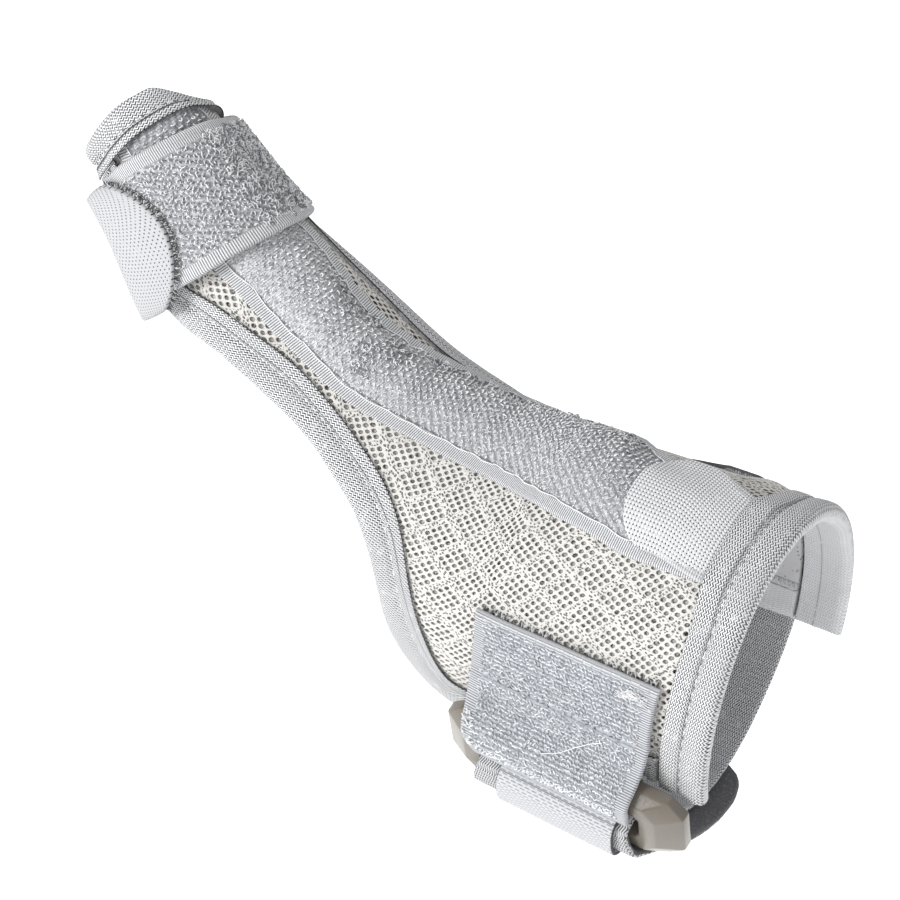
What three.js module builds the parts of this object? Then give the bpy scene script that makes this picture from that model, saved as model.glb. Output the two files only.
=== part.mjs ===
// Thumb splint for the right hand, as worn: an open mesh panel with bound edges, a stay sleeve,
// a thumb strap and a wrist strap closed through a plastic ring. Millimetres, +Z up.
// The wrist hollow lies along X with the cuff at +X, the palm faces -Y and the thumb rises to -X and +Z.
import * as THREE from 'three';
import { mergeVertices } from 'three/addons/utils/BufferGeometryUtils.js';

const MESH_WALL = 2.6;
const LAYER_GAP = 0.3;
const EDGE_GAP_ANGLE = 1.3;
const TIP_GAP = 0.6;
// Angles that each piece spans where it meets the open end at the thumb.
const TIP_SPANS = { panel: [-62, 80], palm: [81, 113], back: [-98, -64], sleeve: [-20, 76] };
const BINDING_UNDER = -0.4;
const BINDING_TOP = 3.1;
const BINDING_ROLL = 0.9;
const CUFF_WIDTH = 9.5;
const CUFF_TOP = 3.3;
const CUFF_GROOVE_AT = 5.2;
const CUFF_GROOVE_DEPTH = 0.7;
const CUFF_GROOVE_WIDTH = 1.1;
// The cuff rises over the flap: where it starts, is full, starts to sink and is flat again.
const CUFF_FLAP_BULGE = 1.9;
const CUFF_BULGE_ANGLES = [-24, -6, 26, 44];
const SLEEVE_EDGE = 1.1;
const FLAP_THICK = 1.3;
const FLAP_END = 31.5;
const FLAP_CORNER = 10;
const FLAP_CORNER_POWER = 2.4;
const FLAP_ANGLES = { backAtCuff: -10.3, back: -18.5, palm: 30 };
const FLAP_WIDE_AT = 22;
const THUMB_STRAP_THICK = 1.8;
const TAB_THICK = 1.3;
const TAB_ROUND = 11;
const WRIST_STRAP_THICK = 1.5;
const STRAP_END_THICK = 1;
const RING_TAB_THICK = 1.4;
// The ring is bevelled towards its front and leans with the side of the wrist.
const RING = { length: 50.4, height: 17, thick: 5, corner: 3.3, leanAngle: 10 };
const RING_SLOT = { length: 34, height: 7, corner: 0.9 };
const RING_BEVEL = { ends: 4.7, sides: 1.5, depth: 2.65 };
const RING_CENTRE = { x: 4.5, y: -32.24, z: -12.77 };

// The limb that the splint is shaped to: its centre line and its half widths to four sides.
const LIMB = [
  { along: 0, x: 31, y: 0, z: 0, radial: 34.5, ulnar: 33.5, palm: 25.6, back: 28 },
  { along: 31, x: 0, y: 0, z: 0, radial: 32, ulnar: 33.5, palm: 25.2, back: 26 },
  { along: 51, x: -20, y: 0, z: 1.1, radial: 29.2, ulnar: 33, palm: 25.2, back: 24 },
  { along: 64, x: -32.7, y: 0, z: 3.9, radial: 26.3, ulnar: 29.4, palm: 24.4, back: 22.8 },
  { along: 77.5, x: -45.2, y: 0.3, z: 8.9, radial: 23, ulnar: 25, palm: 22.8, back: 21.5 },
  { along: 93, x: -58.7, y: 1, z: 16.7, radial: 20, ulnar: 20.6, palm: 20.5, back: 19.7 },
  { along: 110, x: -72.3, y: 2, z: 27, radial: 17.3, ulnar: 17, palm: 18, back: 17.6 },
  { along: 136.5, x: -92, y: 3.8, z: 44, radial: 13.8, ulnar: 14, palm: 14, back: 12 },
  { along: 154, x: -104, y: 5.1, z: 56.5, radial: 12, ulnar: 11.2, palm: 10.4, back: 10 },
  { along: 176.5, x: -118, y: 5.6, z: 74.5, radial: 10.4, ulnar: 10, palm: 8.8, back: 8.2 },
];

// Edges of the panel as angles round the limb from its thumb side, positive towards the palm.
const PALM_SIDE = [
  { along: 9.5, edge: 103, seam: 91 },
  { along: 30, edge: 110, seam: 97 },
  { along: 44, edge: 115, seam: 101 },
  { along: 50, edge: 120, seam: 104 },
  { along: 54, edge: 125, seam: 104 },
  { along: 58, edge: 123, seam: 97 },
  { along: 66, edge: 107, seam: 78 },
  { along: 75, edge: 83, seam: 60 },
  { along: 84, edge: 70, seam: 50 },
  { along: 93, edge: 65.5, seam: 46 },
  { along: 103, edge: 64.5, seam: 44.5 },
  { along: 114, edge: 71.5, seam: 46.5 },
  { along: 125, edge: 84, seam: 56 },
  { along: 133, edge: 102, seam: 66 },
  { along: 139, edge: 113, seam: 78 },
  { along: 147, edge: 119, seam: 88 },
  { along: 160, edge: 116, seam: 85 },
  { along: 170, edge: 112, seam: 80 },
];
const BACK_SIDE = [
  { along: 9.5, edge: -112, seam: -98 },
  { along: 30, edge: -114, seam: -98 },
  { along: 48, edge: -116, seam: -98 },
  { along: 57, edge: -108, seam: -84 },
  { along: 66, edge: -86, seam: -61 },
  { along: 75, edge: -66, seam: -45 },
  { along: 84, edge: -53, seam: -34.5 },
  { along: 94, edge: -47.5, seam: -28.5 },
  { along: 104, edge: -48.5, seam: -28 },
  { along: 114, edge: -52, seam: -30 },
  { along: 125, edge: -60, seam: -35 },
  { along: 136, edge: -74, seam: -44 },
  { along: 147, edge: -88, seam: -56 },
  { along: 158, edge: -96, seam: -62 },
  { along: 168, edge: -98, seam: -64 },
];
// The open end at the thumb: how far along the binding starts and ends at each angle.
const TIP_END = [
  { angle: -98, seam: 159, rim: 163.6 },
  { angle: -60, seam: 160, rim: 164.4 },
  { angle: -30, seam: 163.4, rim: 166.4 },
  { angle: -12, seam: 165.8, rim: 168.9 },
  { angle: 2, seam: 167.8, rim: 171.6 },
  { angle: 16, seam: 168.9, rim: 174 },
  { angle: 35, seam: 169.4, rim: 174.6 },
  { angle: 56, seam: 168.9, rim: 174.5 },
  { angle: 85, seam: 166.2, rim: 172.5 },
  { angle: 113, seam: 163.5, rim: 170 },
];
// The stay sleeve: its two edges and how far its middle stands up.
const SLEEVE = [
  { along: 9.5, palm: 28, back: -10, loft: 0.2 },
  { along: 20, palm: 28.5, back: -16, loft: 1.2 },
  { along: 28, palm: 28.5, back: -18, loft: 1.9 },
  { along: 35, palm: 26, back: -25, loft: 2.2 },
  { along: 42, palm: 24.5, back: -36, loft: 2.4 },
  { along: 52, palm: 22, back: -41, loft: 2.5 },
  { along: 68, palm: 20, back: -40, loft: 2.5 },
  { along: 80, palm: 22.5, back: -33, loft: 2.5 },
  { along: 88, palm: 26, back: -28, loft: 2.5 },
  { along: 95, palm: 30.5, back: -22.5, loft: 2.5 },
  { along: 104, palm: 36.5, back: -17, loft: 2.4 },
  { along: 116, palm: 41, back: -16, loft: 2.2 },
  { along: 124, palm: 44, back: -20, loft: 2.0 },
  { along: 132, palm: 47, back: -24, loft: 1.7 },
  { along: 139, palm: 52, back: -21, loft: 1.3 },
  { along: 150, palm: 60, back: -19, loft: 1.2 },
  { along: 160, palm: 70, back: -21, loft: 1.1 },
  { along: 169, palm: 76, back: -20, loft: 0.6 },
];
// Straps as paths round the limb: angle, height of their middle off the skin, and their two long edges.
const THUMB_STRAP = [
  { angle: 98, rise: 4.4, low: 139, high: 163 },
  { angle: 84, rise: 4.9, low: 138.9, high: 164.4 },
  { angle: 72, rise: 5.6, low: 138.8, high: 165.6 },
  { angle: 55, rise: 6.4, low: 138.6, high: 166.2 },
  { angle: 35, rise: 6.8, low: 138.3, high: 166.1 },
  { angle: 10, rise: 6.7, low: 136.8, high: 164.7 },
  { angle: -8, rise: 6.1, low: 135.6, high: 162.6 },
  { angle: -22, rise: 5.4, low: 134.9, high: 161 },
  { angle: -40, rise: 4.5, low: 134.5, high: 159.6 },
  { angle: -70, rise: 4.4, low: 134.4, high: 159 },
  { angle: -100, rise: 4.4, low: 134.4, high: 159 },
  { angle: -120, rise: 3.6, low: 134.6, high: 159.2 },
  { angle: -150, rise: 2.6, low: 135, high: 160 },
  { angle: -180, rise: 2.4, low: 135.6, high: 160.8 },
  { angle: -210, rise: 2.2, low: 136.2, high: 161 },
  { angle: -226, rise: 2.8, low: 136.5, high: 160.6 },
  { angle: -236, rise: 3.9, low: 136.6, high: 160.4 },
  { angle: -243, rise: 4.5, low: 136.7, high: 160.2 },
];
const THUMB_TAB = [
  { angle: 150, rise: 4.1, low: 136.5, high: 160.5 },
  { angle: 135, rise: 4.8, low: 136.6, high: 160.5 },
  { angle: 118, rise: 6.5, low: 136.7, high: 161.5 },
  { angle: 98, rise: 6.5, low: 136.7, high: 163.2 },
  { angle: 84, rise: 6.95, low: 136.7, high: 163.7 },
  { angle: 72, rise: 7.6, low: 136.7, high: 163.7 },
  { angle: 62, rise: 8.15, low: 136.7, high: 163.7 },
];
const RING_TAB = [
  { angle: 64, rise: 3.9, low: 10.6, high: 51.5 },
  { angle: 72, rise: 3.9, low: 11, high: 50.2 },
  { angle: 80, rise: 4.4, low: 10.8, high: 49.2 },
  { angle: 86, rise: 5.5, low: 10.4, high: 48.3 },
  { angle: 90.7, rise: 6.72, low: 10.5, high: 47.8 },
  { angle: 93, rise: 7.99, low: 10.6, high: 47.3 },
  { angle: 94.5, rise: 9.27, low: 10.6, high: 46.9 },
  { angle: 96, rise: 11.26, low: 10.6, high: 46.2 },
  { angle: 97.7, rise: 12.3, low: 10.6, high: 45.4 },
  { angle: 100.4, rise: 12.21, low: 10.6, high: 44.6 },
  { angle: 102.5, rise: 12.19, low: 10.7, high: 43.4 },
  { angle: 104.1, rise: 11.61, low: 10.9, high: 42.3 },
  { angle: 104.8, rise: 10.17, low: 11, high: 41.8 },
  { angle: 105, rise: 8.37, low: 11, high: 41.8 },
  { angle: 105.3, rise: 6.57, low: 11, high: 41.8 },
  { angle: 104.5, rise: 4.95, low: 11, high: 41.8 },
  { angle: 101.5, rise: 4.54, low: 11, high: 41.8 },
  { angle: 96.8, rise: 4.74, low: 11, high: 41.8 },
];
const WRIST_STRAP = [
  { angle: -54, rise: 3.95, low: 20, high: 25 },
  { angle: -57, rise: 3.95, low: 17.5, high: 28 },
  { angle: -61.5, rise: 3.95, low: 14, high: 35 },
  { angle: -67, rise: 3.95, low: 11.2, high: 43 },
  { angle: -75, rise: 3.95, low: 10.6, high: 49 },
  { angle: -95, rise: 4.5, low: 10.6, high: 50.4 },
  { angle: -112, rise: 4.5, low: 10.6, high: 50.4 },
  { angle: -124, rise: 3.4, low: 10.6, high: 50.4 },
  { angle: -142, rise: 2, low: 10.6, high: 50.4 },
  { angle: -160, rise: 1.6, low: 10.6, high: 50.4 },
  { angle: -180, rise: 1.5, low: 10.6, high: 50.4 },
  { angle: -200, rise: 1.6, low: 10.6, high: 50.4 },
  { angle: -212, rise: 2, low: 10.6, high: 50.2 },
  { angle: -222, rise: 3, low: 10.7, high: 49.5 },
  { angle: -232, rise: 4.7, low: 10.8, high: 47.5 },
  { angle: -239, rise: 6.27, low: 11, high: 45 },
  { angle: -243.5, rise: 5.69, low: 11.2, high: 43.4 },
  { angle: -247, rise: 5.49, low: 11.4, high: 42.6 },
  { angle: -249.5, rise: 6.24, low: 11.4, high: 42.6 },
  { angle: -250.6, rise: 8.59, low: 11.4, high: 42.6 },
  { angle: -251.1, rise: 10.78, low: 11.4, high: 42.6 },
  { angle: -250.4, rise: 12.16, low: 11.4, high: 42.6 },
  { angle: -248.2, rise: 12.74, low: 11, high: 43 },
  { angle: -245.1, rise: 13.2, low: 10.4, high: 43.4 },
  { angle: -242.4, rise: 12.98, low: 9.6, high: 43.8 },
  { angle: -239.7, rise: 11.14, low: 8.4, high: 44.3 },
  { angle: -237.5, rise: 9.5, low: 7.4, high: 44.7 },
  { angle: -234.3, rise: 7.85, low: 6.6, high: 45 },
  { angle: -228, rise: 6.3, low: 6, high: 45 },
  { angle: -219.6, rise: 5.2, low: 6, high: 45 },
  { angle: -208, rise: 4.3, low: 6, high: 45 },
  { angle: -192, rise: 3.9, low: 6, high: 45 },
  { angle: -180, rise: 3.8, low: 6.5, high: 44.5 },
  { angle: -172, rise: 3.8, low: 9, high: 42 },
  { angle: -168, rise: 3.8, low: 15, high: 36 },
];
const WRIST_STRAP_END = { from: 19.6, to: 30.8, low: 13.5, high: 38 };

const lerp = THREE.MathUtils.lerp;
const smoothstep = THREE.MathUtils.smoothstep;

// Reads a table smoothly between its rows by the values in its key column.
function tableReader(rows, key) {
  const columns = Object.keys(rows[0]).filter((name) => name !== key);
  const last = rows.length - 1;
  const slope = (index, name) => {
    const before = rows[Math.max(index - 1, 0)];
    const after = rows[Math.min(index + 1, last)];
    return (after[name] - before[name]) / (after[key] - before[key]);
  };
  return (value) => {
    let index = 0;
    while (index < last - 1 && value > rows[index + 1][key]) index += 1;
    const span = rows[index + 1][key] - rows[index][key];
    const t = THREE.MathUtils.clamp((value - rows[index][key]) / span, 0, 1);
    const read = {};
    for (const name of columns) {
      const rise = rows[index + 1][name] - rows[index][name];
      const leave = slope(index, name) * span;
      const arrive = slope(index + 1, name) * span;
      const bend = leave * (t ** 3 - 2 * t * t + t) + arrive * (t ** 3 - t * t);
      read[name] = rows[index][name] + rise * (3 * t * t - 2 * t ** 3) + bend;
    }
    return read;
  };
}

const limbAt = tableReader(LIMB, 'along');
const palmSideAt = tableReader(PALM_SIDE, 'along');
const backSideAt = tableReader(BACK_SIDE, 'along');
const tipEndAt = tableReader(TIP_END, 'angle');
const sleeveAt = tableReader(SLEEVE, 'along');
const limbEnd = LIMB[LIMB.length - 1].along;

// A point on the limb, at an angle round it and a height off the skin.
function onLimb(along, angle, rise) {
  const limb = limbAt(along);
  const before = limbAt(Math.max(along - 0.5, 0));
  const after = limbAt(Math.min(along + 0.5, limbEnd));
  const ahead = new THREE.Vector3(after.x - before.x, after.y - before.y, after.z - before.z).normalize();
  const toPalm = new THREE.Vector3(0, -1, 0);
  toPalm.addScaledVector(ahead, -toPalm.dot(ahead)).normalize();
  const toThumbSide = new THREE.Vector3().crossVectors(ahead, toPalm);
  const turn = THREE.MathUtils.degToRad(angle);
  const up = Math.cos(turn);
  const across = Math.sin(turn);
  const halfUp = (up >= 0 ? limb.radial : limb.ulnar) + rise;
  const halfAcross = (across >= 0 ? limb.palm : limb.back) + rise;
  return new THREE.Vector3(limb.x, limb.y, limb.z)
    .addScaledVector(toThumbSide, halfUp * up)
    .addScaledVector(toPalm, halfAcross * across);
}

// A closed sheet: place() takes two face coordinates and the level through the wall, each 0 to 1.
function closedSheet(steps, crossSteps, place) {
  const box = new THREE.BoxGeometry(1, 1, 1, steps, crossSteps, 1);
  const corners = box.getAttribute('position');
  for (let index = 0; index < corners.count; index += 1) {
    const point = place(corners.getX(index) + 0.5, corners.getY(index) + 0.5, corners.getZ(index) + 0.5);
    corners.setXYZ(index, point.x, point.y, point.z);
  }
  box.deleteAttribute('normal');
  box.deleteAttribute('uv');
  const sheet = mergeVertices(box, 1e-5);
  sheet.computeVertexNormals();
  return sheet;
}

// A strap along a path round the limb, from one row to another, between two levels off its middle.
function strap(rows, options) {
  const { from = 0, to = rows.length - 1, under, over, part = 3, cross = 4, roundEnd = 0 } = options;
  const edges = options.edges ?? ((read) => read);
  let travel = 0;
  const path = rows.map((row, index) => {
    if (index > 0) {
      const before = rows[index - 1];
      const middle = (row.low + row.high) / 2;
      const here = onLimb(middle, row.angle, row.rise);
      travel += here.distanceTo(onLimb(middle, before.angle, before.rise));
    }
    return { ...row, travel };
  });
  const pathAt = tableReader(path, 'travel');
  const travelAt = (place) => {
    const index = Math.min(Math.floor(place), rows.length - 2);
    return lerp(path[index].travel, path[index + 1].travel, place - index);
  };
  const start = travelAt(from);
  const end = travelAt(to);
  const middleAt = (distance, v) => {
    const read = pathAt(THREE.MathUtils.clamp(distance, 0, travel));
    const { low, high } = edges(read);
    return onLimb(lerp(low, high, v), read.angle, read.rise);
  };
  const steps = Math.round((to - from) * part);
  return closedSheet(steps, cross, (u, acrossFlat, level) => {
    const v = 0.5 - 0.5 * Math.cos(Math.PI * acrossFlat);
    const cut = roundEnd * (1 - Math.sqrt(Math.max(0, 1 - (2 * v - 1) ** 2)));
    const plain = travelAt(lerp(from, to, u));
    const distance = start + (plain - start) * ((end - cut - start) / (end - start));
    const run = middleAt(distance + 0.2, v).sub(middleAt(distance - 0.2, v));
    const side = middleAt(distance, Math.min(v + 0.02, 1)).sub(middleAt(distance, Math.max(v - 0.02, 0)));
    const outward = run.cross(side).normalize();
    return middleAt(distance, v).addScaledVector(outward, lerp(under, over, level));
  });
}

function sleeveTop(along, across) {
  const hump = smoothstep(across, 0.06, 0.34) * (1 - smoothstep(across, 0.66, 0.94));
  return MESH_WALL + LAYER_GAP + SLEEVE_EDGE + sleeveAt(along).loft * hump;
}

// Binding bands are rolled a little lower at their free edge.
function bindingTop(fromEdge) {
  return BINDING_TOP - BINDING_ROLL * (1 - smoothstep(fromEdge, 0, 0.22));
}

function meshBody() {
  return closedSheet(26, 20, (u, v, level) => {
    const tipAngle = lerp(...TIP_SPANS.panel, v);
    const along = lerp(CUFF_WIDTH + LAYER_GAP, tipEndAt(tipAngle).seam - LAYER_GAP, u);
    const back = backSideAt(along).seam + EDGE_GAP_ANGLE;
    const palm = palmSideAt(along).seam - EDGE_GAP_ANGLE;
    return onLimb(along, lerp(back, palm, v), MESH_WALL * level);
  });
}

function palmEdgeBinding() {
  return closedSheet(40, 3, (u, v, level) => {
    const along = lerp(CUFF_WIDTH + LAYER_GAP, tipEndAt(lerp(...TIP_SPANS.palm, v)).seam - LAYER_GAP, u);
    const side = palmSideAt(along);
    return onLimb(along, lerp(side.seam, side.edge, v), lerp(BINDING_UNDER, bindingTop(1 - v), level));
  });
}

function backEdgeBinding() {
  return closedSheet(38, 3, (u, v, level) => {
    const along = lerp(CUFF_WIDTH + LAYER_GAP, tipEndAt(lerp(...TIP_SPANS.back, v)).seam - LAYER_GAP, u);
    const side = backSideAt(along);
    return onLimb(along, lerp(side.edge, side.seam, v), lerp(BINDING_UNDER, bindingTop(v), level));
  });
}

function thumbTipBinding() {
  return closedSheet(4, 22, (u, v, level) => {
    const angle = lerp(TIP_END[0].angle, TIP_END[TIP_END.length - 1].angle, v);
    const end = tipEndAt(angle);
    return onLimb(lerp(end.seam, end.rim, u), angle, lerp(BINDING_UNDER, bindingTop(1 - u), level));
  });
}

function cuffBinding() {
  const { edge: backEdge } = BACK_SIDE[0];
  const { edge: palmEdge } = PALM_SIDE[0];
  const [start, full, sink, flat] = CUFF_BULGE_ANGLES;
  return closedSheet(9, 26, (u, v, level) => {
    const along = CUFF_WIDTH * u;
    const angle = lerp(backEdge, palmEdge, v);
    const round = smoothstep(angle, start, full) * (1 - smoothstep(angle, sink, flat));
    const overFlap = round * smoothstep(u, 0, 0.9);
    const groove = Math.max(0, 1 - Math.abs(along - CUFF_GROOVE_AT) / CUFF_GROOVE_WIDTH);
    const roll = BINDING_ROLL * (1 - smoothstep(u, 0, 0.2));
    const top = CUFF_TOP - roll - CUFF_GROOVE_DEPTH * groove + CUFF_FLAP_BULGE * overFlap;
    return onLimb(along, angle, lerp(BINDING_UNDER, top, level));
  });
}

function staySleeve() {
  return closedSheet(34, 10, (u, v, level) => {
    const along = lerp(CUFF_WIDTH + LAYER_GAP, tipEndAt(lerp(...TIP_SPANS.sleeve, v)).seam - TIP_GAP, u);
    const sleeve = sleeveAt(along);
    const angle = lerp(sleeve.back, sleeve.palm, v);
    return onLimb(along, angle, lerp(MESH_WALL + LAYER_GAP, sleeveTop(along, v), level));
  });
}

function pocketFlap() {
  return closedSheet(8, 12, (u, acrossFlat, level) => {
    const v = 0.5 - 0.5 * Math.cos(Math.PI * acrossFlat);
    const side = Math.abs(2 * v - 1) ** FLAP_CORNER_POWER;
    const corner = 1 - (1 - side) ** (1 / FLAP_CORNER_POWER);
    const along = lerp(CUFF_WIDTH + LAYER_GAP, FLAP_END - FLAP_CORNER * corner, u);
    const { backAtCuff, back, palm } = FLAP_ANGLES;
    const backEdge = lerp(backAtCuff, back, smoothstep(along, CUFF_WIDTH, FLAP_WIDE_AT));
    const angle = lerp(backEdge, palm, v);
    const sleeve = sleeveAt(along);
    const across = THREE.MathUtils.clamp((angle - sleeve.back) / (sleeve.palm - sleeve.back), 0, 1);
    const under = sleeveTop(along, across) + LAYER_GAP;
    return onLimb(along, angle, under + FLAP_THICK * level);
  });
}

function thumbStrap() {
  return strap(THUMB_STRAP, { under: -THUMB_STRAP_THICK / 2, over: THUMB_STRAP_THICK / 2, part: 2, cross: 4 });
}

function thumbStrapTab() {
  return strap(THUMB_TAB, {
    under: -TAB_THICK / 2, over: TAB_THICK / 2, part: 3, cross: 10, roundEnd: TAB_ROUND,
  });
}

function ringTab() {
  return strap(reversedEdges(RING_TAB), { under: -RING_TAB_THICK / 2, over: RING_TAB_THICK / 2 });
}

function wristStrap() {
  return strap(WRIST_STRAP, { under: -WRIST_STRAP_THICK / 2, over: WRIST_STRAP_THICK / 2, part: 2 });
}

function wristStrapEnd() {
  const { from, to, low, high } = WRIST_STRAP_END;
  const under = -WRIST_STRAP_THICK / 2 - LAYER_GAP - STRAP_END_THICK;
  const over = -WRIST_STRAP_THICK / 2 - LAYER_GAP;
  return strap(WRIST_STRAP, { from, to, under, over, part: 2, edges: () => ({ low, high }) });
}

// A path that runs towards the palm has its outer face out when its edges change places.
function reversedEdges(rows) {
  return rows.map((row) => ({ ...row, low: row.high, high: row.low }));
}

// A rectangle with its corners cut off.
function cutRectangle(outline, { length, height, corner }) {
  const right = length / 2;
  const top = height / 2;
  outline.moveTo(corner - right, -top);
  outline.lineTo(right - corner, -top);
  outline.lineTo(right, corner - top);
  outline.lineTo(right, top - corner);
  outline.lineTo(right - corner, top);
  outline.lineTo(corner - right, top);
  outline.lineTo(-right, top - corner);
  outline.lineTo(-right, corner - top);
  outline.closePath();
  return outline;
}

function wristRing() {
  const { length, height, thick, leanAngle } = RING;
  const face = cutRectangle(new THREE.Shape(), RING);
  face.holes.push(cutRectangle(new THREE.Path(), RING_SLOT));
  const ring = new THREE.ExtrudeGeometry(face, { depth: thick, steps: 2, bevelEnabled: false });
  const corners = ring.getAttribute('position');
  for (let index = 0; index < corners.count; index += 1) {
    const x = corners.getX(index);
    const y = corners.getY(index);
    const z = corners.getZ(index);
    const outside = Math.abs(x) > RING_SLOT.length / 2 + 0.1 || Math.abs(y) > RING_SLOT.height / 2 + 0.1;
    if (z === thick / 2) corners.setZ(index, thick - RING_BEVEL.depth);
    if (z === thick && outside) {
      corners.setX(index, x * (1 - 2 * RING_BEVEL.ends / length));
      corners.setY(index, y * (1 - 2 * RING_BEVEL.sides / height));
    }
  }
  ring.translate(0, 0, -thick / 2);
  ring.rotateX(THREE.MathUtils.degToRad(90 + leanAngle));
  ring.translate(RING_CENTRE.x, RING_CENTRE.y, RING_CENTRE.z);
  ring.deleteAttribute('normal');
  ring.deleteAttribute('uv');
  return mergeVertices(ring, 1e-5);
}

const finishes = {
  mesh: { color: 0xe4e1d8, roughness: 0.95 },
  knit: { color: 0xb4b6ba, roughness: 0.95 },
  loop: { color: 0x9a9da3, roughness: 1 },
  hook: { color: 0xd6d8dc, roughness: 0.8 },
  plastic: { color: 0x8b8981, roughness: 0.45 },
};
const materials = {};
for (const [name, finish] of Object.entries(finishes)) {
  materials[name] = new THREE.MeshStandardMaterial({ name, ...finish });
}

const pieces = [
  ['mesh_body', 'mesh', meshBody()],
  ['thumb_tip_binding', 'knit', thumbTipBinding()],
  ['palm_edge_binding', 'knit', palmEdgeBinding()],
  ['back_edge_binding', 'knit', backEdgeBinding()],
  ['cuff_binding', 'knit', cuffBinding()],
  ['stay_sleeve', 'loop', staySleeve()],
  ['pocket_flap', 'hook', pocketFlap()],
  ['thumb_strap', 'loop', thumbStrap()],
  ['thumb_strap_tab', 'hook', thumbStrapTab()],
  ['ring_tab', 'loop', ringTab()],
  ['wrist_ring', 'plastic', wristRing()],
  ['wrist_strap', 'knit', wristStrap()],
  ['wrist_strap_end', 'hook', wristStrapEnd()],
];

const splint = new THREE.Group();
splint.name = 'thumb_splint';
for (const [name, material, geometry] of pieces) {
  const piece = new THREE.Mesh(geometry, materials[material]);
  piece.name = name;
  splint.add(piece);
}

export default splint;
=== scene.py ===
"""Looks of the thumb splint. Every cloth piece is bent over the form that the solids follow."""
import math

import bmesh
import bpy
import numpy as np
from mathutils import Matrix, Vector


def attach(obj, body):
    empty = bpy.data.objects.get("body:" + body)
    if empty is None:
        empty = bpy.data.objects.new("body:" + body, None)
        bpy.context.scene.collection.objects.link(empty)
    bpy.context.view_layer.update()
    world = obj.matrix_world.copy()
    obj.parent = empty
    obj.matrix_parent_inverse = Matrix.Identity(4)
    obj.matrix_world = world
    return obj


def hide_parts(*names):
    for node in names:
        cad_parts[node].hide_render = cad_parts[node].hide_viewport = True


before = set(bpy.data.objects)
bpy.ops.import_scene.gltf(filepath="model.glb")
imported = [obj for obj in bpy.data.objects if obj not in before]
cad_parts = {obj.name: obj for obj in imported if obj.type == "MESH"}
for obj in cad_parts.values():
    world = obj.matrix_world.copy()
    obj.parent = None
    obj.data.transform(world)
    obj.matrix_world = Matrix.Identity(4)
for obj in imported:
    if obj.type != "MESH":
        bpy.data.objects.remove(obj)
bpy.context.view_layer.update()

MM = 0.001
TURN = 2 * math.pi
chance = np.random.default_rng(11)


def table(columns, *rows):
    """Rows of numbers under named columns."""
    return {name: np.array(column, float) for name, column in zip(columns.split(), zip(*rows))}


# The form, edges and paths of the solids, in millimetres and degrees.
MESH_WALL = 2.6
LAYER_GAP = 0.3
EDGE_GAP_ANGLE = 0.4
BINDING_UNDER = -0.4
BINDING_TOP = 3.1
CUFF_WIDTH = 9.5
CUFF_TOP = 3.3
CUFF_GROOVE_AT = 5.2
CUFF_FLAP_BULGE = 1.9
SLEEVE_EDGE = 1.1
FLAP_THICK = 1.3
FLAP_END = 31.5
FLAP_LENGTH, FLAP_WIDTH = 22, 25.5
FLAP_CORNER = 10
FLAP_CORNER_POWER = 2.4
FLAP_BACK_AT_CUFF, FLAP_BACK, FLAP_PALM = -10.3, -18.5, 30
FLAP_WIDE_AT = 22
THUMB_STRAP_THICK = 1.8
TAB_THICK = 1.3
TAB_ROUND = 11
WRIST_STRAP_THICK = 1.5
STRAP_END_THICK = 1
RING_TAB_THICK = 1.4
PANEL = 156, 90
EDGE_TAPE = 165, 7.5
TIP_TAPE = 52, 5.2
CUFF_TAPE = 118, CUFF_WIDTH
SLEEVE_LENGTH, SLEEVE_WIDTH = 158, 26
SLEEVE_FACE = 4
THUMB_STRAP_WIDTH = 27
RING_TAB_WIDTH = 38
WRIST_STRAP_WIDTH = 39
STRAP_END_WIDTH = 24.5
# Angles of the ends of the tip and cuff bindings, and of the corners at the tip of the long pieces.
TIP_BACK, TIP_PALM = -98, 113
CUFF_BACK, CUFF_PALM = -112, 103
PANEL_CORNERS = -62, 80
PALM_BINDING_CORNERS = 81, TIP_PALM
BACK_BINDING_CORNERS = TIP_BACK, -64
SLEEVE_CORNERS = -20, 76
# The slimmest stretch, where the splint bends.
NECK = 113

FORM = table(
    "along x y z radial ulnar palm back",
    (0, 31, 0, 0, 34.5, 33.5, 25.6, 28),
    (31, 0, 0, 0, 32, 33.5, 25.2, 26),
    (51, -20, 0, 1.1, 29.2, 33, 25.2, 24),
    (64, -32.7, 0, 3.9, 26.3, 29.4, 24.4, 22.8),
    (77.5, -45.2, 0.3, 8.9, 23, 25, 22.8, 21.5),
    (93, -58.7, 1, 16.7, 20, 20.6, 20.5, 19.7),
    (110, -72.3, 2, 27, 17.3, 17, 18, 17.6),
    (136.5, -92, 3.8, 44, 13.8, 14, 14, 12),
    (154, -104, 5.1, 56.5, 12, 11.2, 10.4, 10),
    (176.5, -118, 5.6, 74.5, 10.4, 10, 8.8, 8.2),
)
PALM_SIDE = table(
    "along edge seam",
    (9.5, 103, 91), (30, 110, 97), (44, 115, 101), (50, 120, 104), (54, 125, 104), (58, 123, 97),
    (66, 107, 78), (75, 83, 60), (84, 70, 50), (93, 65.5, 46), (103, 64.5, 44.5), (114, 71.5, 46.5),
    (125, 84, 56), (133, 102, 66), (139, 113, 78), (147, 119, 88), (160, 116, 85), (170, 112, 80),
)
BACK_SIDE = table(
    "along edge seam",
    (9.5, -112, -98), (30, -114, -98), (48, -116, -98), (57, -108, -84), (66, -86, -61),
    (75, -66, -45), (84, -53, -34.5), (94, -47.5, -28.5), (104, -48.5, -28), (114, -52, -30),
    (125, -60, -35), (136, -74, -44), (147, -88, -56), (158, -96, -62), (168, -98, -64),
)
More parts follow.
